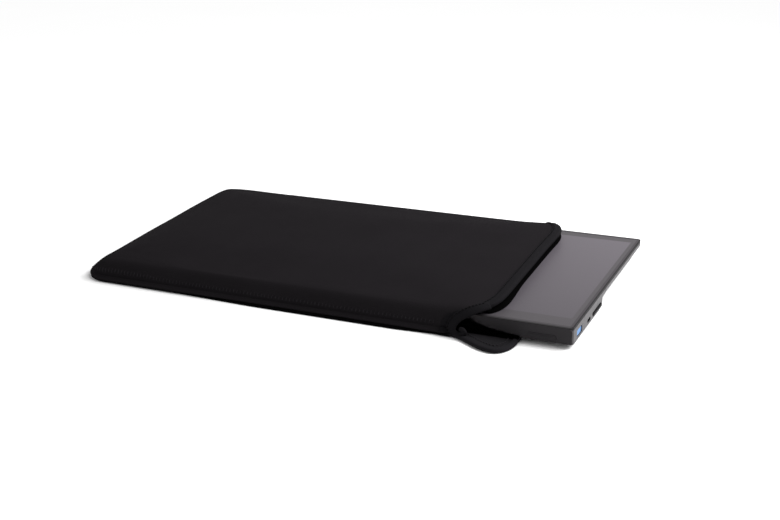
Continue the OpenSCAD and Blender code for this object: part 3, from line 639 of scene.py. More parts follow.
class TopPanel:
    """The upper panel's outside: a drooping flange, side walls that lean in, a crowned top, a slope at
    the closed end and a raised rim at the mouth. A wall's section is a superellipse of power 2.4, and
    of power 3.6 where the sleeve is empty, so that the monitor still fits below it."""

    def __init__(self):
        self.form = form = sizes()
        grid = bpy.context.scene.grid_sizes
        self.flange, self.angle = across_places(form, grid)
        self.n = len(self.angle)
        even = np.linspace(0, 1, grid.middle + 2)[1:-1]
        self.spread = 0.35 * (1 - np.cos(math.pi * even)) / 2 + 0.65 * even
        self.columns = 2 * self.n + grid.middle
        self.edge = mouth_edge(form, self.across(np.full((1, self.columns), 0.1))[0])

    def empty(self, x):
        """1 where the sleeve is empty, 0 over the monitor."""
        return smooth((-x - 0.075) / 0.075)

    def power(self, x):
        """2 through the superellipse's power."""
        return 2 / (2.4 + 1.2 * self.empty(x))

    def rise(self, x):
        """Rise of the columns that stand at x, from 0 at the flange to 1 at the top."""
        up = np.concatenate([self.angle, np.full(self.columns - 2 * self.n, math.pi / 2),
            self.angle[::-1]])
        return np.sin(up) ** self.power(x)

    def across(self, x):
        """Y of the rows whose columns stand at x: the walls lean in more where the sleeve is empty."""
        f, n = self.form, self.n
        empty = self.empty(x)
        power = self.power(x)
        front = f.wall + (f.empty_wall - f.wall) * empty[:, :n]
        back = f.wall + (f.empty_back - f.wall) * empty[:, -n:]
        low = front * (1 - np.cos(self.angle) ** power[:, :n]) - outline(f, x[:, :n], -1) + self.flange
        high = (outline(f, x[:, -n:], 1) - self.flange[::-1]
            - back * (1 - np.cos(self.angle[::-1]) ** power[:, -n:]))
        first, last = low[:, -1:], high[:, :1]
        return np.concatenate([low, first + (last - first) * self.spread, high], 1)

    def points(self, x):
        """Points of the rows whose columns stand at x."""
        f = self.form
        y = self.across(x)
        from_seam = np.minimum(outline(f, x, y) - np.abs(y), x + f.half_length)
        flange_z = 2 * f.fabric - f.droop * (1 - smooth(from_seam / f.flange))
        run = np.clip((x + f.half_length - f.flange) / f.end_run, 0, 1)
        power = 3 + 2 * smooth(y / 0.05)
        crown = f.crown * (1 - np.abs(y / f.half_width) ** power) * smooth((x + f.half_length) / 0.055)
        rim = f.mouth_rise * smooth((x - f.half_length + 0.03) / 0.05)
        top = f.height + crown + rim
        z = flange_z + (top - flange_z) * self.rise(x) * np.sin(run * math.pi / 2) ** 0.95
        a, b = self.n - 6, self.columns - self.n + 6
        for _ in range(5):
            z[:, a:b] = (z[:, a - 1:b - 1] + 2 * z[:, a:b] + z[:, a + 1:b + 1]) / 4
        return np.stack([x - end_skew(f, x, y), y, z], -1)

    def rows(self):
        """X of every row, close together at the closed end and at the mouth."""
        f = self.form
        s = np.linspace(0, 1, bpy.context.scene.grid_sizes.along)
        s = 0.55 * s + 0.45 * (1 - np.cos(math.pi * s)) / 2
        s = s - 0.35 * s * (1 - s) * np.exp(-s * 5)
        return -f.half_length + (self.edge - BOUND + f.half_length) * s[:, None]


def swell(points, held, cap):
    """Lets Blender's cloth swell a grid of points under a light pressure, where it isn't held, and
    caps how far a point moves."""
    rows, columns, _ = points.shape
    quads = grid_faces(rows, columns)
    uv = np.zeros((rows * columns, 2))
    trial = new_piece("trial", points.reshape(-1, 3), quads, uv, [])
    group = trial.vertex_groups.new(name="held")
    flat = held.ravel()
    for level in (1.0, 0.1):
        members = np.nonzero(np.abs(flat - level) < 0.01)[0]
        group.add([int(i) for i in members], level, "REPLACE")
    cloth = trial.modifiers.new("Cloth", "CLOTH")
    cloth.settings.quality = 4
    cloth.settings.mass = 0.05
    cloth.settings.tension_stiffness = 18
    cloth.settings.compression_stiffness = 6
    cloth.settings.shear_stiffness = 6
    cloth.settings.bending_stiffness = 0.6
    cloth.settings.use_pressure = True
    cloth.settings.uniform_pressure_force = 1.2
    cloth.settings.vertex_group_mass = "held"
    cloth.settings.effector_weights.gravity = 0
    cloth.point_cache.frame_start, cloth.point_cache.frame_end = 1, bpy.context.scene.grid_sizes.steps
    scene = bpy.context.scene
    for step in range(1, bpy.context.scene.grid_sizes.steps + 1):
        scene.frame_set(step)
    made = trial.evaluated_get(bpy.context.evaluated_depsgraph_get())
    moved = np.empty(rows * columns * 3, np.float32)
    made.data.vertices.foreach_get("co", moved)
    shift = moved.reshape(points.shape).astype(float) - points
    mesh = trial.data
    bpy.data.objects.remove(trial)
    bpy.data.meshes.remove(mesh)
    scene.frame_set(1)
    far = np.linalg.norm(shift, axis=-1, keepdims=True)
    shift = shift * np.minimum(1, cap / np.maximum(far, 1e-9) * np.tanh(far / cap))
    for _ in range(3):
        shift[1:-1, 1:-1] = (shift[1:-1, 1:-1] * 2 + shift[:-2, 1:-1] + shift[2:, 1:-1]
            + shift[1:-1, :-2] + shift[1:-1, 2:]) / 6
    return points + shift * (held < 0.99)[..., None]


def slow_folds(points, depth):
    """Very shallow hollows and ridges of padded cloth, from four crossed sines."""
    x, y = points[..., 0], points[..., 1]
    wave = (np.sin(x * 31 + y * 9 + 0.6) + 0.7 * np.sin(x * 17 - y * 26 + 2.1)
        + 0.5 * np.sin(x * 53 + y * 38 + 4.0) + 0.4 * np.sin(y * 71 - x * 22))
    return depth * wave / 2.6


def make_top_panel():
    """The upper panel: outside grid, swollen by cloth, and its inside one fabric thickness below."""
    panel = TopPanel()
    form = panel.form
    x = panel.rows()
    outer = panel.points(x)
    from_mouth = panel.edge - x
    from_end = x + form.half_length - form.flange
    free = smooth((panel.rise(x) - 0.9) / 0.1)
    free = free * smooth((from_mouth - 0.014) / 0.03) * smooth(from_end / 0.02)
    held = np.where(free < 0.02, 1.0, np.where(free < 0.6, 0.1, 0.0))
    outer = swell(outer, held, form.swell)
    outer[..., 2] += slow_folds(outer, 0.0007) * free
    from_seam = np.minimum(outline(form, x, outer[..., 1]) - np.abs(outer[..., 1]), x + form.half_length)
    thick = form.fabric * (0.8 + 0.2 * smooth((from_seam - 0.016) / 0.02))
    inner = outer - grid_normals(outer) * thick[..., None]
    under = form.fabric + 0.0002 - 0.0013 * (1 - smooth(from_seam / form.flange))
    inner[..., 2] = np.maximum(inner[..., 2], under)
    over = (np.abs(inner[..., 1]) < COVER_HIGH.y + 0.0012) & (inner[..., 0] > STOWED_END)
    inner[..., 2] = np.maximum(inner[..., 2], np.where(over, MONITOR_TOP + OVER_MONITOR, 0))
    return thick_sheet("sleeve_upper_panel", outer, inner, [materials["fabric"], materials["lining"]],
        roundness=0.6)


def make_top_tape():
    """The binding of the upper mouth edge: one grid that runs over the panel's outside, round its edge
    and back along its inside."""
    t, panel = tape(), TopPanel()
    form = panel.form
    back = np.array([BOUND, 0.003, t.turned, 0.005, 0.006, 0.007, 0.0079, t.width, t.width + 0.001])
    grid = panel.points(panel.edge - back[::-1, None])
    normal = grid_normals(grid)
    lift = t.thickness + 0.0001
    outside = (grid + normal * lift)[1:]
    middle = grid[-1] - normal[-1] * form.fabric / 2
    outward = unit(grid[-1] - grid[-2])
    angle = np.linspace(0, math.pi, 9)[1:-1, None, None]
    reach = form.fabric / 2 + lift
    bend = middle + reach * (np.cos(angle) * normal[-1] + np.sin(angle) * outward)
    inside = (grid - normal * (form.fabric + lift))[-3:][::-1]
    face = np.concatenate([outside, bend, inside])
    n = grid_normals(face)
    return thick_sheet("mouth_tape_upper", face, face - n * t.thickness, [materials["tape"]])


def walk(line):
    """Length walked along a line of points, at each of them."""
    return np.concatenate([[0], np.cumsum(np.linalg.norm(np.diff(line, axis=0), axis=-1))])


def even_places(walked, pitch, first):
    """Places at an even pitch along a walk, the first of them a share of the pitch from its start."""
    count = int(walked[-1] / pitch)
    return (np.arange(count) + first) * walked[-1] / count


def read_off(walked, values, places):
    """Values of a line of points at places along its walk."""
    return np.stack([np.interp(places, walked, values[:, k]) for k in range(3)], -1)


def stitch_rows(line, normals, pitch, share):
    """Starts, ends and normals of stitches along a line of points, at an even pitch."""
    walked = walk(line)
    at = even_places(walked, pitch, 0.5)
    reach = share * pitch / 2
    return (read_off(walked, line, at - reach), read_off(walked, line, at + reach),
        unit(read_off(walked, normals, at)))


def make_mouth_shade_fold():
    """A black fold under the upper rim, which stands for painted shade over the monitor's top: from inside
    it comes forward to the rim, bulges down onto the monitor's top and turns back. Its section is a
    Catmull-Rom curve through eight points."""
    panel = TopPanel()
    form = panel.form
    edge = panel.points(panel.edge - np.full((1, 1), BOUND))[0]
    edge = edge[np.abs(edge[:, 1]) < 0.1085]
    high = edge[:, 2] - form.fabric - 0.0007
    low = np.minimum(MONITOR_TOP + 0.0004, high - 0.001)
    section = ((0.0095, 1.0, 0), (0.0035, 1.0, 0), (0.0012, 0.86, 0.2), (-0.0002, 0.5, 0.7),
        (-0.0012, 0.16, 1), (-0.0008, 0.0, 0.9), (0.003, 0.0, 0.3), (0.0095, 0.0, 0))
    further = 0.003 * smooth((-edge[:, 1] - 0.03) / 0.06) + 0.0008 * smooth((edge[:, 1] - 0.06) / 0.04)
    points = np.stack([np.stack([edge[:, 0] - back + share * further, edge[:, 1],
        low + (high - low) * rise], -1) for back, rise, share in section])
    face = catmull(points, 26)
    return thick_sheet("mouth_shade_fold", face, face - grid_normals(face) * SHADE_SHEET_THICK,
        [materials["lining"]], rim_rows=1)


def make_top_stitches():
    """The row of stitches beside the binding's edge on the upper panel."""
    t, panel = tape(), TopPanel()
    back = np.array([t.width, t.width - 0.0014, t.width - 0.003])
    grid = panel.points(panel.edge - back[:, None])
    normal = grid_normals(grid)[1]
    line = grid[1] + normal * (t.thickness + 0.00015)
    keep = np.nonzero(grid[1, :, 1] > -0.104)[0][:-3]
    starts, ends, normals = stitch_rows(line[keep], normal[keep], t.pitch, 0.68)
    return threads("mouth_stitches_upper", starts, ends, normals, t.thread, materials["stitch"])


# Lower panel and its lip


def bezier(points, count):
    """A cubic curve through the first and last of four points."""
    t = np.linspace(0, 1, count)[:, None]
    p = [np.asarray(q, float) for q in points]
    u = 1 - t
    return u ** 3 * p[0] + 3 * u ** 2 * t * p[1] + 3 * u * t ** 2 * p[2] + t ** 3 * p[3]


def lip_path():
    """The lower mouth edge in plan: from the front seam out along the lip, round its corner and back
    to the back seam."""
    form, t = sizes(), tape()
    seam, w, r = form.half_length, form.half_width, t.tongue_corner
    a = np.array([seam - form.front_cut + 0.001, -w])
    b = np.array([seam - form.back_cut, w])
    tip = np.array([seam + t.tongue_out - r, -w - t.tongue_side])
    end = np.array([seam + t.tongue_out, -w - t.tongue_side + 1.5 * r])
    lead = 0.014
    first = bezier([a, a + [lead, -0.003], tip - [lead, 0], tip], 26)
    corner = bezier([tip, tip + [0.62 * r, 0], end - [0, 0.8 * r], end], 20)
    last = bezier([end, end + [0, 0.38 * w], b + [0.8 * t.tongue_out, -0.56 * w], b], 60)
    return np.concatenate([first, corner[1:], last[1:]])


def inward(path):
    """Directions at a right angle to a plan path, towards the panel."""
    d = unit(np.gradient(path, axis=0))
    return np.stack([-d[:, 1], d[:, 0]], -1)


def make_bottom_panel():
    """The lower panel: rows of constant x between its front and its back outline. The closed corners
    follow circles, and past the seams the outline is that of the lip."""
    form = sizes()
    seam = form.half_length
    path = lip_path()
    path = path + inward(path) * BOUND
    split = int(np.argmax(path[:, 0]))
    reach = path[split, 0] - 0.0012
    s = np.linspace(0, 1, 120)
    s = 0.5 * s + 0.5 * (1 - np.cos(math.pi * s)) / 2
    x = -seam + (reach + seam) * s
    # The lower layer reaches past the upper one in front as a black strip of painted shade under the flange.
    spread = form.under_edge * smooth((x + 0.09) / 0.1) * (1 - smooth((x - 0.125) / 0.045))
    front = np.where(x > path[0, 0], np.interp(x, path[:split, 0], path[:split, 1]),
        -outline(form, x, -1) - spread)
    back = np.where(x > path[-1, 0], np.interp(x, path[:split:-1, 0], path[:split:-1, 1]),
        outline(form, x, 1))
    across = (1 - np.cos(np.linspace(0, math.pi, 60))) / 2 * 0.4 + 0.6 * np.linspace(0, 1, 60)
    y = front[:, None] + (back - front)[:, None] * across
    x = np.broadcast_to(x[:, None], y.shape)
    skew = end_skew(form, x, y)
    near = np.minimum(np.minimum(y - front[:, None], back[:, None] - y), x + seam)
    sewn = smooth((path[0, 0] - 0.004 - x) / 0.01)
    thin = 0.0016 * (1 - smooth((near - 0.0006) / form.flange)) * sewn
    inset = y * (1 - 0.0009 * sewn / form.half_width)
    outer = np.stack([x - skew, inset, form.fabric - 0.00005 - thin], -1)
    wear = 0.0002 * (1 - np.sin(x * 60 + y * 25) * np.sin(y * 47 - x * 18)) * smooth(near / 0.03)
    inner = np.stack([x - skew, inset, wear], -1)
    return thick_sheet("sleeve_lower_panel", outer, inner, [materials["mesh"], materials["fabric"]],
        roundness=0.6)


def make_lip_tape():
    """The binding of the lip: the section of a flat U carried along the lip's path."""
    form, t = sizes(), tape()
    path = lip_path()
    side = inward(path)
    lift = t.thickness + 0.00005
    high, low = form.fabric + lift, 0.0
    back = np.array([t.lip_width, 0.0037, 0.0032, 0.0027, 0.0022])
    angle = np.linspace(0, math.pi, 9)[1:-1]
    half = (high - low) / 2
    d = np.concatenate([back, 0.0022 - 0.0022 * np.sin(angle), back[::-1]])
    z = np.concatenate([back * 0 + high, (high + low) / 2 + half * np.cos(angle), back * 0 + low])
    plan = path[None] + side[None] * d[:, None, None]
    face = np.concatenate([plan, np.broadcast_to(z[:, None, None], (*plan.shape[:2], 1))], -1)
    return thick_sheet("mouth_tape_lower", face, face - grid_normals(face) * t.thickness,
        [materials["lip"]])


def make_lip_stitches():
    """The row of stitches beside the binding's edge on the lip."""
    form, t = sizes(), tape()
    path = lip_path()[2:-2]
    plan = path + inward(path) * t.lip_row
    line = np.column_stack([plan, np.full(len(plan), form.fabric + 0.0001)])
    normals = np.tile([0.0, 0.0, 1.0], (len(plan), 1))
    starts, ends, normals = stitch_rows(line, normals, t.pitch, 0.68)
    return threads("mouth_stitches_lower", starts, ends, normals, t.thread, materials["thread"])


def ladder(low, high, pitch, turned):
    """Starts, ends and normals of stitches that climb from one line to another, at an even pitch."""
    walked = walk(low)
    at = even_places(walked, pitch, 0.4)
    normals = unit(np.cross(np.gradient(low, axis=0), high - low))
    return (read_off(walked, low, at), read_off(walked, high, at + 0.3 * pitch),
        unit(read_off(walked, normals, at)) * turned)


def make_seam_stitches():
    """Stitches that climb the wall from the flange, along both long seams and the closed end."""
    t, panel = tape(), TopPanel()
    form = panel.form
    step = len(panel.flange) - bpy.context.scene.grid_sizes.wall
    parts = []
    for stop, first, turned in ((form.front_cut, step - 1, 1), (form.back_cut, -step, -1)):
        x = np.linspace(-form.half_length + 0.0045, form.half_length - stop - 0.012, 400)[:, None]
        grid = panel.points(np.broadcast_to(x, (400, panel.columns)))
        onward = 1 if first > 0 else -1
        low = 0.45 * grid[:, first] + 0.55 * grid[:, first + onward]
        parts.append(ladder(low, grid[:, first + 2 * onward], t.edge_pitch, turned))
    x = -form.half_length + form.flange + np.array([0.0006, 0.0026])[:, None]
    grid = panel.points(np.broadcast_to(x, (2, panel.columns)))
    keep = np.abs(grid[0, :, 1]) < 0.09
    parts.append(ladder(grid[0, keep], grid[1, keep], t.edge_pitch, -1))
    starts, ends, normals = (np.concatenate(values) for values in zip(*parts))
    return threads("seam_stitches_edge", starts, ends, normals, t.thread, materials["thread"])


# Middle line of the tape that rolls round the mouth's front corner: place, facing, half width, all in mm
ROLL = ((203.5, -106.0, 23.4, 0.05, -0.35, 0.94, 3.6), (197.0, -112.2, 22.6, 0.0, -0.6, 0.8, 3.9),
    (189.0, -117.0, 20.2, 0.0, -0.9, 0.45, 4.1), (182.0, -120.0, 15.7, 0.0, -1.0, 0.15, 4.1),
    (178.0, -121.6, 10.4, 0.0, -1.0, 0.0, 4.1), (177.8, -122.4, 5.8, 0.0, -1.0, 0.0, 3.9),
    (181.0, -123.2, 2.7, 0.0, -1.0, 0.0, 2.9), (185.6, -124.2, 2.9, 0.0, -1.0, 0.0, 2.7),
    (189.0, -124.8, 5.2, 0.0, -1.0, 0.0, 2.5), (188.2, -124.8, 7.8, 0.0, -1.0, 0.0, 1.9),
    (185.4, -124.0, 8.3, 0.0, -1.0, 0.0, 1.4))


def roll_line(count):
    """The rolled tape's middle line, its facing, its direction across and its half width."""
    row = catmull(ROLL, count)
    place, half = row[:, :3] / 1000, row[:, 6:] / 1000
    along = unit(np.gradient(place, axis=0))
    facing = unit(row[:, 3:6] - along * (row[:, 3:6] * along).sum(-1, keepdims=True))
    return place, facing, np.cross(along, facing), half


def make_corner_roll():
    """The tape round the mouth's front corner: a flat superellipse carried along its middle line, and
    kept above the table. Both its ends are closed by quads between points halfway to a point further out."""
    place, facing, across, half = roll_line(90)
    a = np.linspace(0, 2 * math.pi, 28, endpoint=False)[None, :, None]
    c, sn = np.cos(a), np.sin(a)
    flat = np.sign(c) * np.abs(c) ** 0.75 * half[:, None] * across[:, None]
    deep = np.sign(sn) * np.abs(sn) ** 0.85 * ROLL_HALF * facing[:, None]
    points = place[:, None] + flat + deep
    points[..., 2] = np.maximum(points[..., 2], 0.0002)
    ends = [place[0] * 1.6 - place[1] * 0.6, place[-1] * 1.6 - place[-2] * 0.6]
    rows, columns = points.shape[:2]
    i = np.arange(rows - 1)[:, None] * columns
    k = np.arange(columns)[None, :]
    onward = (k + 1) % columns
    quads = np.stack([i + k, i + onward, i + columns + onward, i + columns + k], -1)
    inner = [(points[row] + end) / 2 for row, end in zip((0, -1), ends)]
    flat_points = np.concatenate([points.reshape(-1, 3), *inner])
    n = rows * columns
    ring = np.arange(columns)
    turn = (ring + 1) % columns
    first = np.stack([ring, n + ring, n + turn, turn], -1)
    last = np.stack([n - columns + ring, n - columns + turn, n + columns + turn, n + columns + ring], -1)
    half_ring = np.arange(columns // 2 - 1)
    caps = [np.stack([base + half_ring, base + columns - 1 - half_ring,
        base + (columns - 2 - half_ring), base + half_ring + 1], -1) for base in (n, n + columns)]
    caps[1] = caps[1][:, ::-1]
    quads = np.concatenate([quads.reshape(-1, 4), first, last, caps[0], caps[1]])
    walked = walk(place)
    around = np.cos(a[0, :, 0]) * 0.004
    uv = np.stack(np.broadcast_arrays(around[None, :], walked[:, None]), -1).reshape(-1, 2)
    uv = np.concatenate([uv, uv[:columns], uv[-columns:]])
    return new_piece("mouth_corner_roll", flat_points, quads[:, ::-1], uv, [materials["tape"]])


def make_roll_stitches():
    """Stitches along the rolled tape's outer edge."""
    place, facing, across, half = roll_line(90)
    line = place + across * (half - 0.0011) + facing * 0.0013
    starts, ends, normals = stitch_rows(line[3:72], facing[3:72], 0.0028, 0.62)
    return threads("mouth_stitches_corner", starts, ends, normals, 1.4 * tape().thread,
        materials["stitch"])


# Upper edge of the corner's black sheet, painted shade where it leans on the monitor's front face: x and z
# in mm
SHADE_SHEET_EDGE = ((176.0, 16.6), (182.0, 16.0), (189.8, 13.4), (196.0, 10.6), (203.0, 8.2), (212.0, 6.2),
    (222.0, 4.6), (231.0, 3.6))


def make_corner_shade_sheet():
    """The black sheet of the front corner, which stands for painted shade on the monitor's front: it rises
    from the lip and leans on the monitor's front. Its UV place tells how far up it is, from 0 to 1."""
    top = catmull(SHADE_SHEET_EDGE, 60) / 1000
    v = np.linspace(0, 1, 16)[None, :]
    x, high, low = top[:, :1], top[:, 1:] + 0.0022, 0.0034
    z = low + (high - low) * v
    y = COVER_LOW.y - 0.0008 - 0.0035 * (1 - v) ** 2
    face = np.stack(np.broadcast_arrays(x, y, z), -1)
    share = np.stack(np.broadcast_arrays(v, 0 * x), -1)
    return thick_sheet("mouth_corner_shade_sheet", face, face - grid_normals(face) * SHADE_SHEET_THICK,
        [materials["sheer"]], rim_rows=1, uv=share)


# Finishes of the frame's own pieces


# The sleeve's finishes by name, which the operator SleeveFinishes fills in
materials = {}


def dress(material, *nodes):
    """Gives pieces of the frame their finish."""
    for node in nodes:
        mesh = NODES[node].data
        mesh.materials.clear()
        mesh.materials.append(material)


def finish_outside():
    """Finishes of the housing, the screen, the feet, the ports and the key."""
    c = bpy.context.scene.hard_colours
    cover, trim, bar, film, border, rubber, key, blue, port = (tuple(getattr(c, k)) for k in (
        "cover", "trim", "bar", "film", "border", "rubber", "key", "blue", "port"))
    dress(blasted_metal("cover_metal", cover, scaled(bar, 0.5)), "rear_cover")
    dress(moulded_plastic("trim_plastic", trim, 0.55, gloss=0.1), "front_frame")
    dress(moulded_plastic("bar_plastic", bar, 0.6, gloss=0.1), "front_bar")
    dress(matte_screen("screen_surface", film, border), "screen_film")
    dress(moulded_plastic("foot_rubber", rubber, 0.72, 1500.0, 0.0001, 0.1), "foot_right", "foot_left")
    dress(moulded_plastic("key_plastic", key, 0.6, gloss=0.02), "rocker_key")
    dress(brushed_steel("port_steel", port, (1.0, 8.0, 8.0)), "usb_a_shell")
    # The small port's shell is drawn nearly black as painted shade, so that the port reads as a dark hole.
    dress(brushed_steel("small_port_shaded_steel", (0.02, 0.02, 0.021), (1.0, 8.0, 8.0)), "usb_c_shell")
    dress(moulded_plastic("blue_plastic", blue, 0.4), "usb_a_tongue")
    dress(moulded_plastic("port_plastic", key, 0.5), "usb_c_tongue")
    dress(moulded_plastic("light_lens", scaled(cover, 1.1), 0.3), "status_light")
    dress(brushed_steel("screw_steel", (0.32, 0.32, 0.33), (4.0, 4.0, 4.0)), "cover_screws")


def finish_inside():
    """Finishes of the boards, the display stack and the small parts inside."""
    dress(moulded_plastic("black_print", (0.01, 0.01, 0.011), 0.5), "border_mask")
    dress(moulded_plastic("lcd_glass", (0.035, 0.035, 0.045), 0.2, 3000.0, 0.00001), "lcd_cell")
    dress(moulded_plastic("white_film", (0.82, 0.83, 0.84), 0.4, 900.0), "diffuser_sheet",
        "reflector_sheet")
    dress(moulded_plastic("clear_plastic", (0.7, 0.74, 0.76), 0.25, 600.0), "light_guide")
    dress(lamp_strip("lamp_strip"), "light_bar")
    dress(brushed_steel("plain_steel", (0.55, 0.55, 0.56), (1.0, 12.0, 12.0)), "panel_tray",
        "board_shield", "board_screws", "key_pin")
    dress(circuit_board("green_board", (0.012, 0.09, 0.035)), "driver_board", "main_board", "key_board")
    dress(striped_cable("flat_cable", (0.5, 0.2, 0.04)), "display_cable")
    dress(moulded_plastic("chip_black", (0.02, 0.02, 0.022), 0.55), "board_chips")
    dress(moulded_plastic("switch_black", (0.03, 0.03, 0.032), 0.5), "key_switches")
    dress(moulded_plastic("ivory_plastic", (0.68, 0.64, 0.52), 0.45), "cable_socket")


# Stage


CAMERA_TARGET = Vector((0.063914, 0.013128, 0.0033))
CAMERA_DISTANCE = 1.104787
CAMERA_AZIMUTH = math.radians(24.557)
CAMERA_ELEVATION = math.radians(19.871)
CAMERA_ROLL = math.radians(-1.208)
SENSOR = 36
CAMERA_LENS = 1200 / 780 * SENSOR
# Strength of the room's diffuse light. Where the camera sees the room, it is 1
ROOM_LIGHT = 0.52


def make_camera():
    """The photograph's view: a direction and distance from a point on the object, and a small roll."""
    a, e, r = CAMERA_AZIMUTH, CAMERA_ELEVATION, CAMERA_ROLL
    back = Vector((math.sin(a) * math.cos(e), -math.cos(a) * math.cos(e), math.sin(e)))
    right = Vector((math.cos(a), math.sin(a), 0))
    up = back.cross(right)
    x = math.cos(r) * right + math.sin(r) * up
    y = -math.sin(r) * right + math.cos(r) * up
    data = bpy.data.cameras.new("camera")
    data.lens, data.sensor_width, data.sensor_fit = CAMERA_LENS, SENSOR, "HORIZONTAL"
    data.clip_start, data.clip_end = 0.01, 50
    camera = bpy.data.objects.new("camera", data)
    bpy.context.scene.collection.objects.link(camera)
    camera.matrix_world = Matrix.Translation(CAMERA_TARGET + CAMERA_DISTANCE * back) @ Matrix(
        (x, y, back)).transposed().to_4x4()
    bpy.context.scene.camera = camera


def make_floor():
    """A plain pale floor that keeps the object's shadow."""
    s = Shade("floor_white")
    speckle = s.noise(s.place(), 4.0, 2.0, 0.5)
    white = s.surface(Base_Color=s.blend(speckle, (0.965, 0.965, 0.965), (0.985, 0.985, 0.985)),
        Roughness=0.9, Specular_IOR_Level=0.0)
    side = np.linspace(-6, 6, 5)
    x, y = np.meshgrid(side, side, indexing="ij")
    points = np.stack([x, y, x * 0 - 0.0002], -1)
    flat = points.reshape(-1, 3)
    new_piece("floor", flat, grid_faces(5, 5), flat[:, :2], [white])


def make_light():
    """A broad soft key from behind on the right, a soft panel on the right, and an even pale room."""
    key = bpy.data.lights.new("key", "SUN")
    key.energy, key.angle = 2.1, math.radians(55)
    lamp = bpy.data.objects.new("key", key)
    lamp.rotation_euler = (math.radians(45), 0, math.radians(128))
    bpy.context.scene.collection.objects.link(lamp)
    panel = bpy.data.lights.new("side_panel", "AREA")
    panel.energy, panel.size = 6.3, 0.5
    lamp = bpy.data.objects.new("side_panel", panel)
    place = Vector((0.62, 0.15, 0.56))
    lamp.matrix_world = Matrix.Translation(place) @ (place - CAMERA_TARGET).to_track_quat(
        "Z", "Y").to_matrix().to_4x4()
    bpy.context.scene.collection.objects.link(lamp)
    world = bpy.data.worlds.new("room")
    bpy.context.scene.world = world
    s = Shade("room", world)
    rays = s.node("ShaderNodeLightPath").outputs
    seen = Value(s, rays["Is Camera Ray"])
    for ray in ("Is Glossy Ray", "Is Transmission Ray"):
        seen = seen.maths("MAXIMUM", Value(s, rays[ray]))
    strength = s.value("ShaderNodeMapRange", None, {"Value": seen, "To Min": ROOM_LIGHT, "To Max": 1.0})
    white = s.value("ShaderNodeBackground", None, {"Color": (1, 1, 1, 1), "Strength": strength})
    s.node("ShaderNodeOutputWorld", None, {"Surface": white})
    bpy.context.scene.view_settings.view_transform = "Standard"


# Operators, panel and main


def on_sleeve(piece, node=None):
    """Puts a piece on the sleeve's body, in place of a solid of the frame where one is named."""
    if node:
        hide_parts(node)
    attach(piece, "sleeve")
    return piece


class SleeveFinishes(bpy.types.Operator):
    """Make the finishes of the sleeve's fabric, tape and thread"""

    bl_idname = "monitor_sleeve.soft_finishes"
    bl_label = "Sleeve finishes"

    def execute(self, context):
        c = context.scene.soft_colours
        seam = context.scene.sleeve_sizes
        materials["fabric"] = knit_fabric("sleeve_fabric", tuple(c.fabric), 0.0011, 0.00012)
        materials["lining"] = knit_fabric("sleeve_lining", tuple(c.lining), 0.0014, 0.0002)
        # The last number is the x up to which the lip mesh is painted black as painted shade inside the
        # sleeve.
        materials["mesh"] = knit_fabric("lip_mesh", tuple(c.mesh), 0.0026, 0.0007, 3.6,
            seam.half_length - seam.front_cut + 0.004)
        materials["sheer"] = painted_shade_sheet("painted_shade_sheet", tuple(c.lining))
        # The stitches beside the bindings take the thread's colour at 0.12: painted shade of the holes they
        # sink into.
        materials["stitch"] = twisted_thread("sunk_thread_painted_shade", scaled(tuple(c.thread), 0.12))
        materials["tape"] = ribbed_tape("binding_tape", tuple(c.tape))
        materials["lip"] = ribbed_tape("lip_tape", scaled(tuple(c.tape), 1.45))
        materials["thread"] = twisted_thread("seam_thread", tuple(c.thread))
        return {"FINISHED"}


class UpperPanel(bpy.types.Operator):
    """Make the sleeve's padded upper panel"""

    bl_idname = "monitor_sleeve.upper_panel"
    bl_label = "Upper panel"

    def execute(self, context):
        piece = on_sleeve(make_top_panel(), "sleeve_top_panel")
        return {"FINISHED"}


class LowerPanel(bpy.types.Operator):
    """Make the sleeve's padded lower panel with its lip"""

    bl_idname = "monitor_sleeve.lower_panel"
    bl_label = "Lower panel"

    def execute(self, context):
        piece = on_sleeve(make_bottom_panel(), "sleeve_bottom_panel")
        return {"FINISHED"}


class Bindings(bpy.types.Operator):
    """Make the tape that binds both edges of the mouth"""

    bl_idname = "monitor_sleeve.bindings"
    bl_label = "Bindings"

    def execute(self, context):
        t = context.scene.tape_sizes
        upper, lower = "sleeve_upper_panel", "sleeve_lower_panel"
        for piece, slot, node, flat, under in (
                (make_top_tape(), "binding_tape", "mouth_binding_top",
                    (t.width + t.turned + 0.006, 0.30), upper),
                (make_lip_tape(), "binding_tape", "mouth_binding_bottom",
                    (2 * t.lip_width + 0.004, 0.34), lower),
                # The next two pieces are black sheets that stand for painted shade at the mouth.
                (make_mouth_shade_fold(), "sleeve_fabric", None, (0.022, 0.24), upper),
                (make_corner_shade_sheet(), "sleeve_fabric", None, (0.01, 0.057), lower),
                (make_corner_roll(), "binding_tape", None, (0.01, 0.062), upper)):
            on_sleeve(piece, node)
        return {"FINISHED"}


class Stitches(bpy.types.Operator):
    """Make the stitches along the closed seams and beside the bindings"""

    bl_idname = "monitor_sleeve.stitches"
    bl_label = "Stitches"

    def execute(self, context):
        on_sleeve(make_seam_stitches(), "seam_stitches")
        for make in (make_top_stitches, make_lip_stitches, make_roll_stitches):
            on_sleeve(make())
        return {"FINISHED"}


class MonitorOutside(bpy.types.Operator):
    """Give the monitor's housing, screen, feet, ports and key their finishes"""

    bl_idname = "monitor_sleeve.outside"
    bl_label = "Monitor outside"

    def execute(self, context):
        finish_outside()
        return {"FINISHED"}


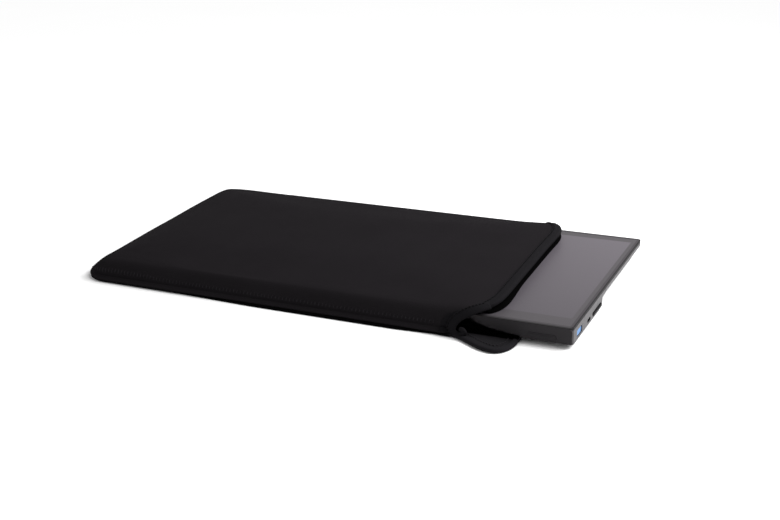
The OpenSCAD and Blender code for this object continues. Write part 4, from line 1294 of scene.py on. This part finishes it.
class MonitorInside(bpy.types.Operator):
    """Give the boards, the display stack and the small parts inside their finishes"""

    bl_idname = "monitor_sleeve.inside"
    bl_label = "Monitor inside"

    def execute(self, context):
        finish_inside()
        return {"FINISHED"}


class Stage(bpy.types.Operator):
    """Make the camera, the floor and the light"""

    bl_idname = "monitor_sleeve.stage"
    bl_label = "Stage"

    def execute(self, context):
        make_camera()
        make_floor()
        make_light()
        return {"FINISHED"}


STEPS = (SleeveFinishes, Stage, UpperPanel, LowerPanel, Bindings, Stitches, MonitorOutside,
    MonitorInside)
GROUPS = {"sleeve_sizes": SleeveSizes, "tape_sizes": TapeSizes, "grid_sizes": GridSizes,
    "soft_colours": SoftColours, "hard_colours": HardColours}


class MonitorPanel(bpy.types.Panel):
    """Lists the steps and their sizes"""

    bl_idname = "VIEW3D_PT_monitor_sleeve"
    bl_label = "Monitor with sleeve"
    bl_space_type = "VIEW_3D"
    bl_region_type = "UI"
    bl_category = "Monitor"

    def draw(self, context):
        for step in STEPS:
            self.layout.operator(step.bl_idname)
        for group in GROUPS:
            box = self.layout.box()
            held = getattr(context.scene, group)
            for key in held.__annotations__:
                box.prop(held, key)


def register():
    for group in GROUPS.values():
        bpy.utils.register_class(group)
    for name, group in GROUPS.items():
        setattr(bpy.types.Scene, name, PointerProperty(type=group))
    for step in (*STEPS, MonitorPanel):
        bpy.utils.register_class(step)


def unregister():
    for step in reversed((*STEPS, MonitorPanel)):
        bpy.utils.unregister_class(step)
    for name in GROUPS:
        delattr(bpy.types.Scene, name)
    for group in reversed(list(GROUPS.values())):
        bpy.utils.unregister_class(group)


def main():
    register()
    bpy.ops.monitor_sleeve.soft_finishes()
    bpy.ops.monitor_sleeve.stage()
    bpy.ops.monitor_sleeve.upper_panel()
    bpy.ops.monitor_sleeve.lower_panel()
    bpy.ops.monitor_sleeve.bindings()
    bpy.ops.monitor_sleeve.stitches()
    bpy.ops.monitor_sleeve.outside()
    bpy.ops.monitor_sleeve.inside()


if __name__ == "__main__":
    main()
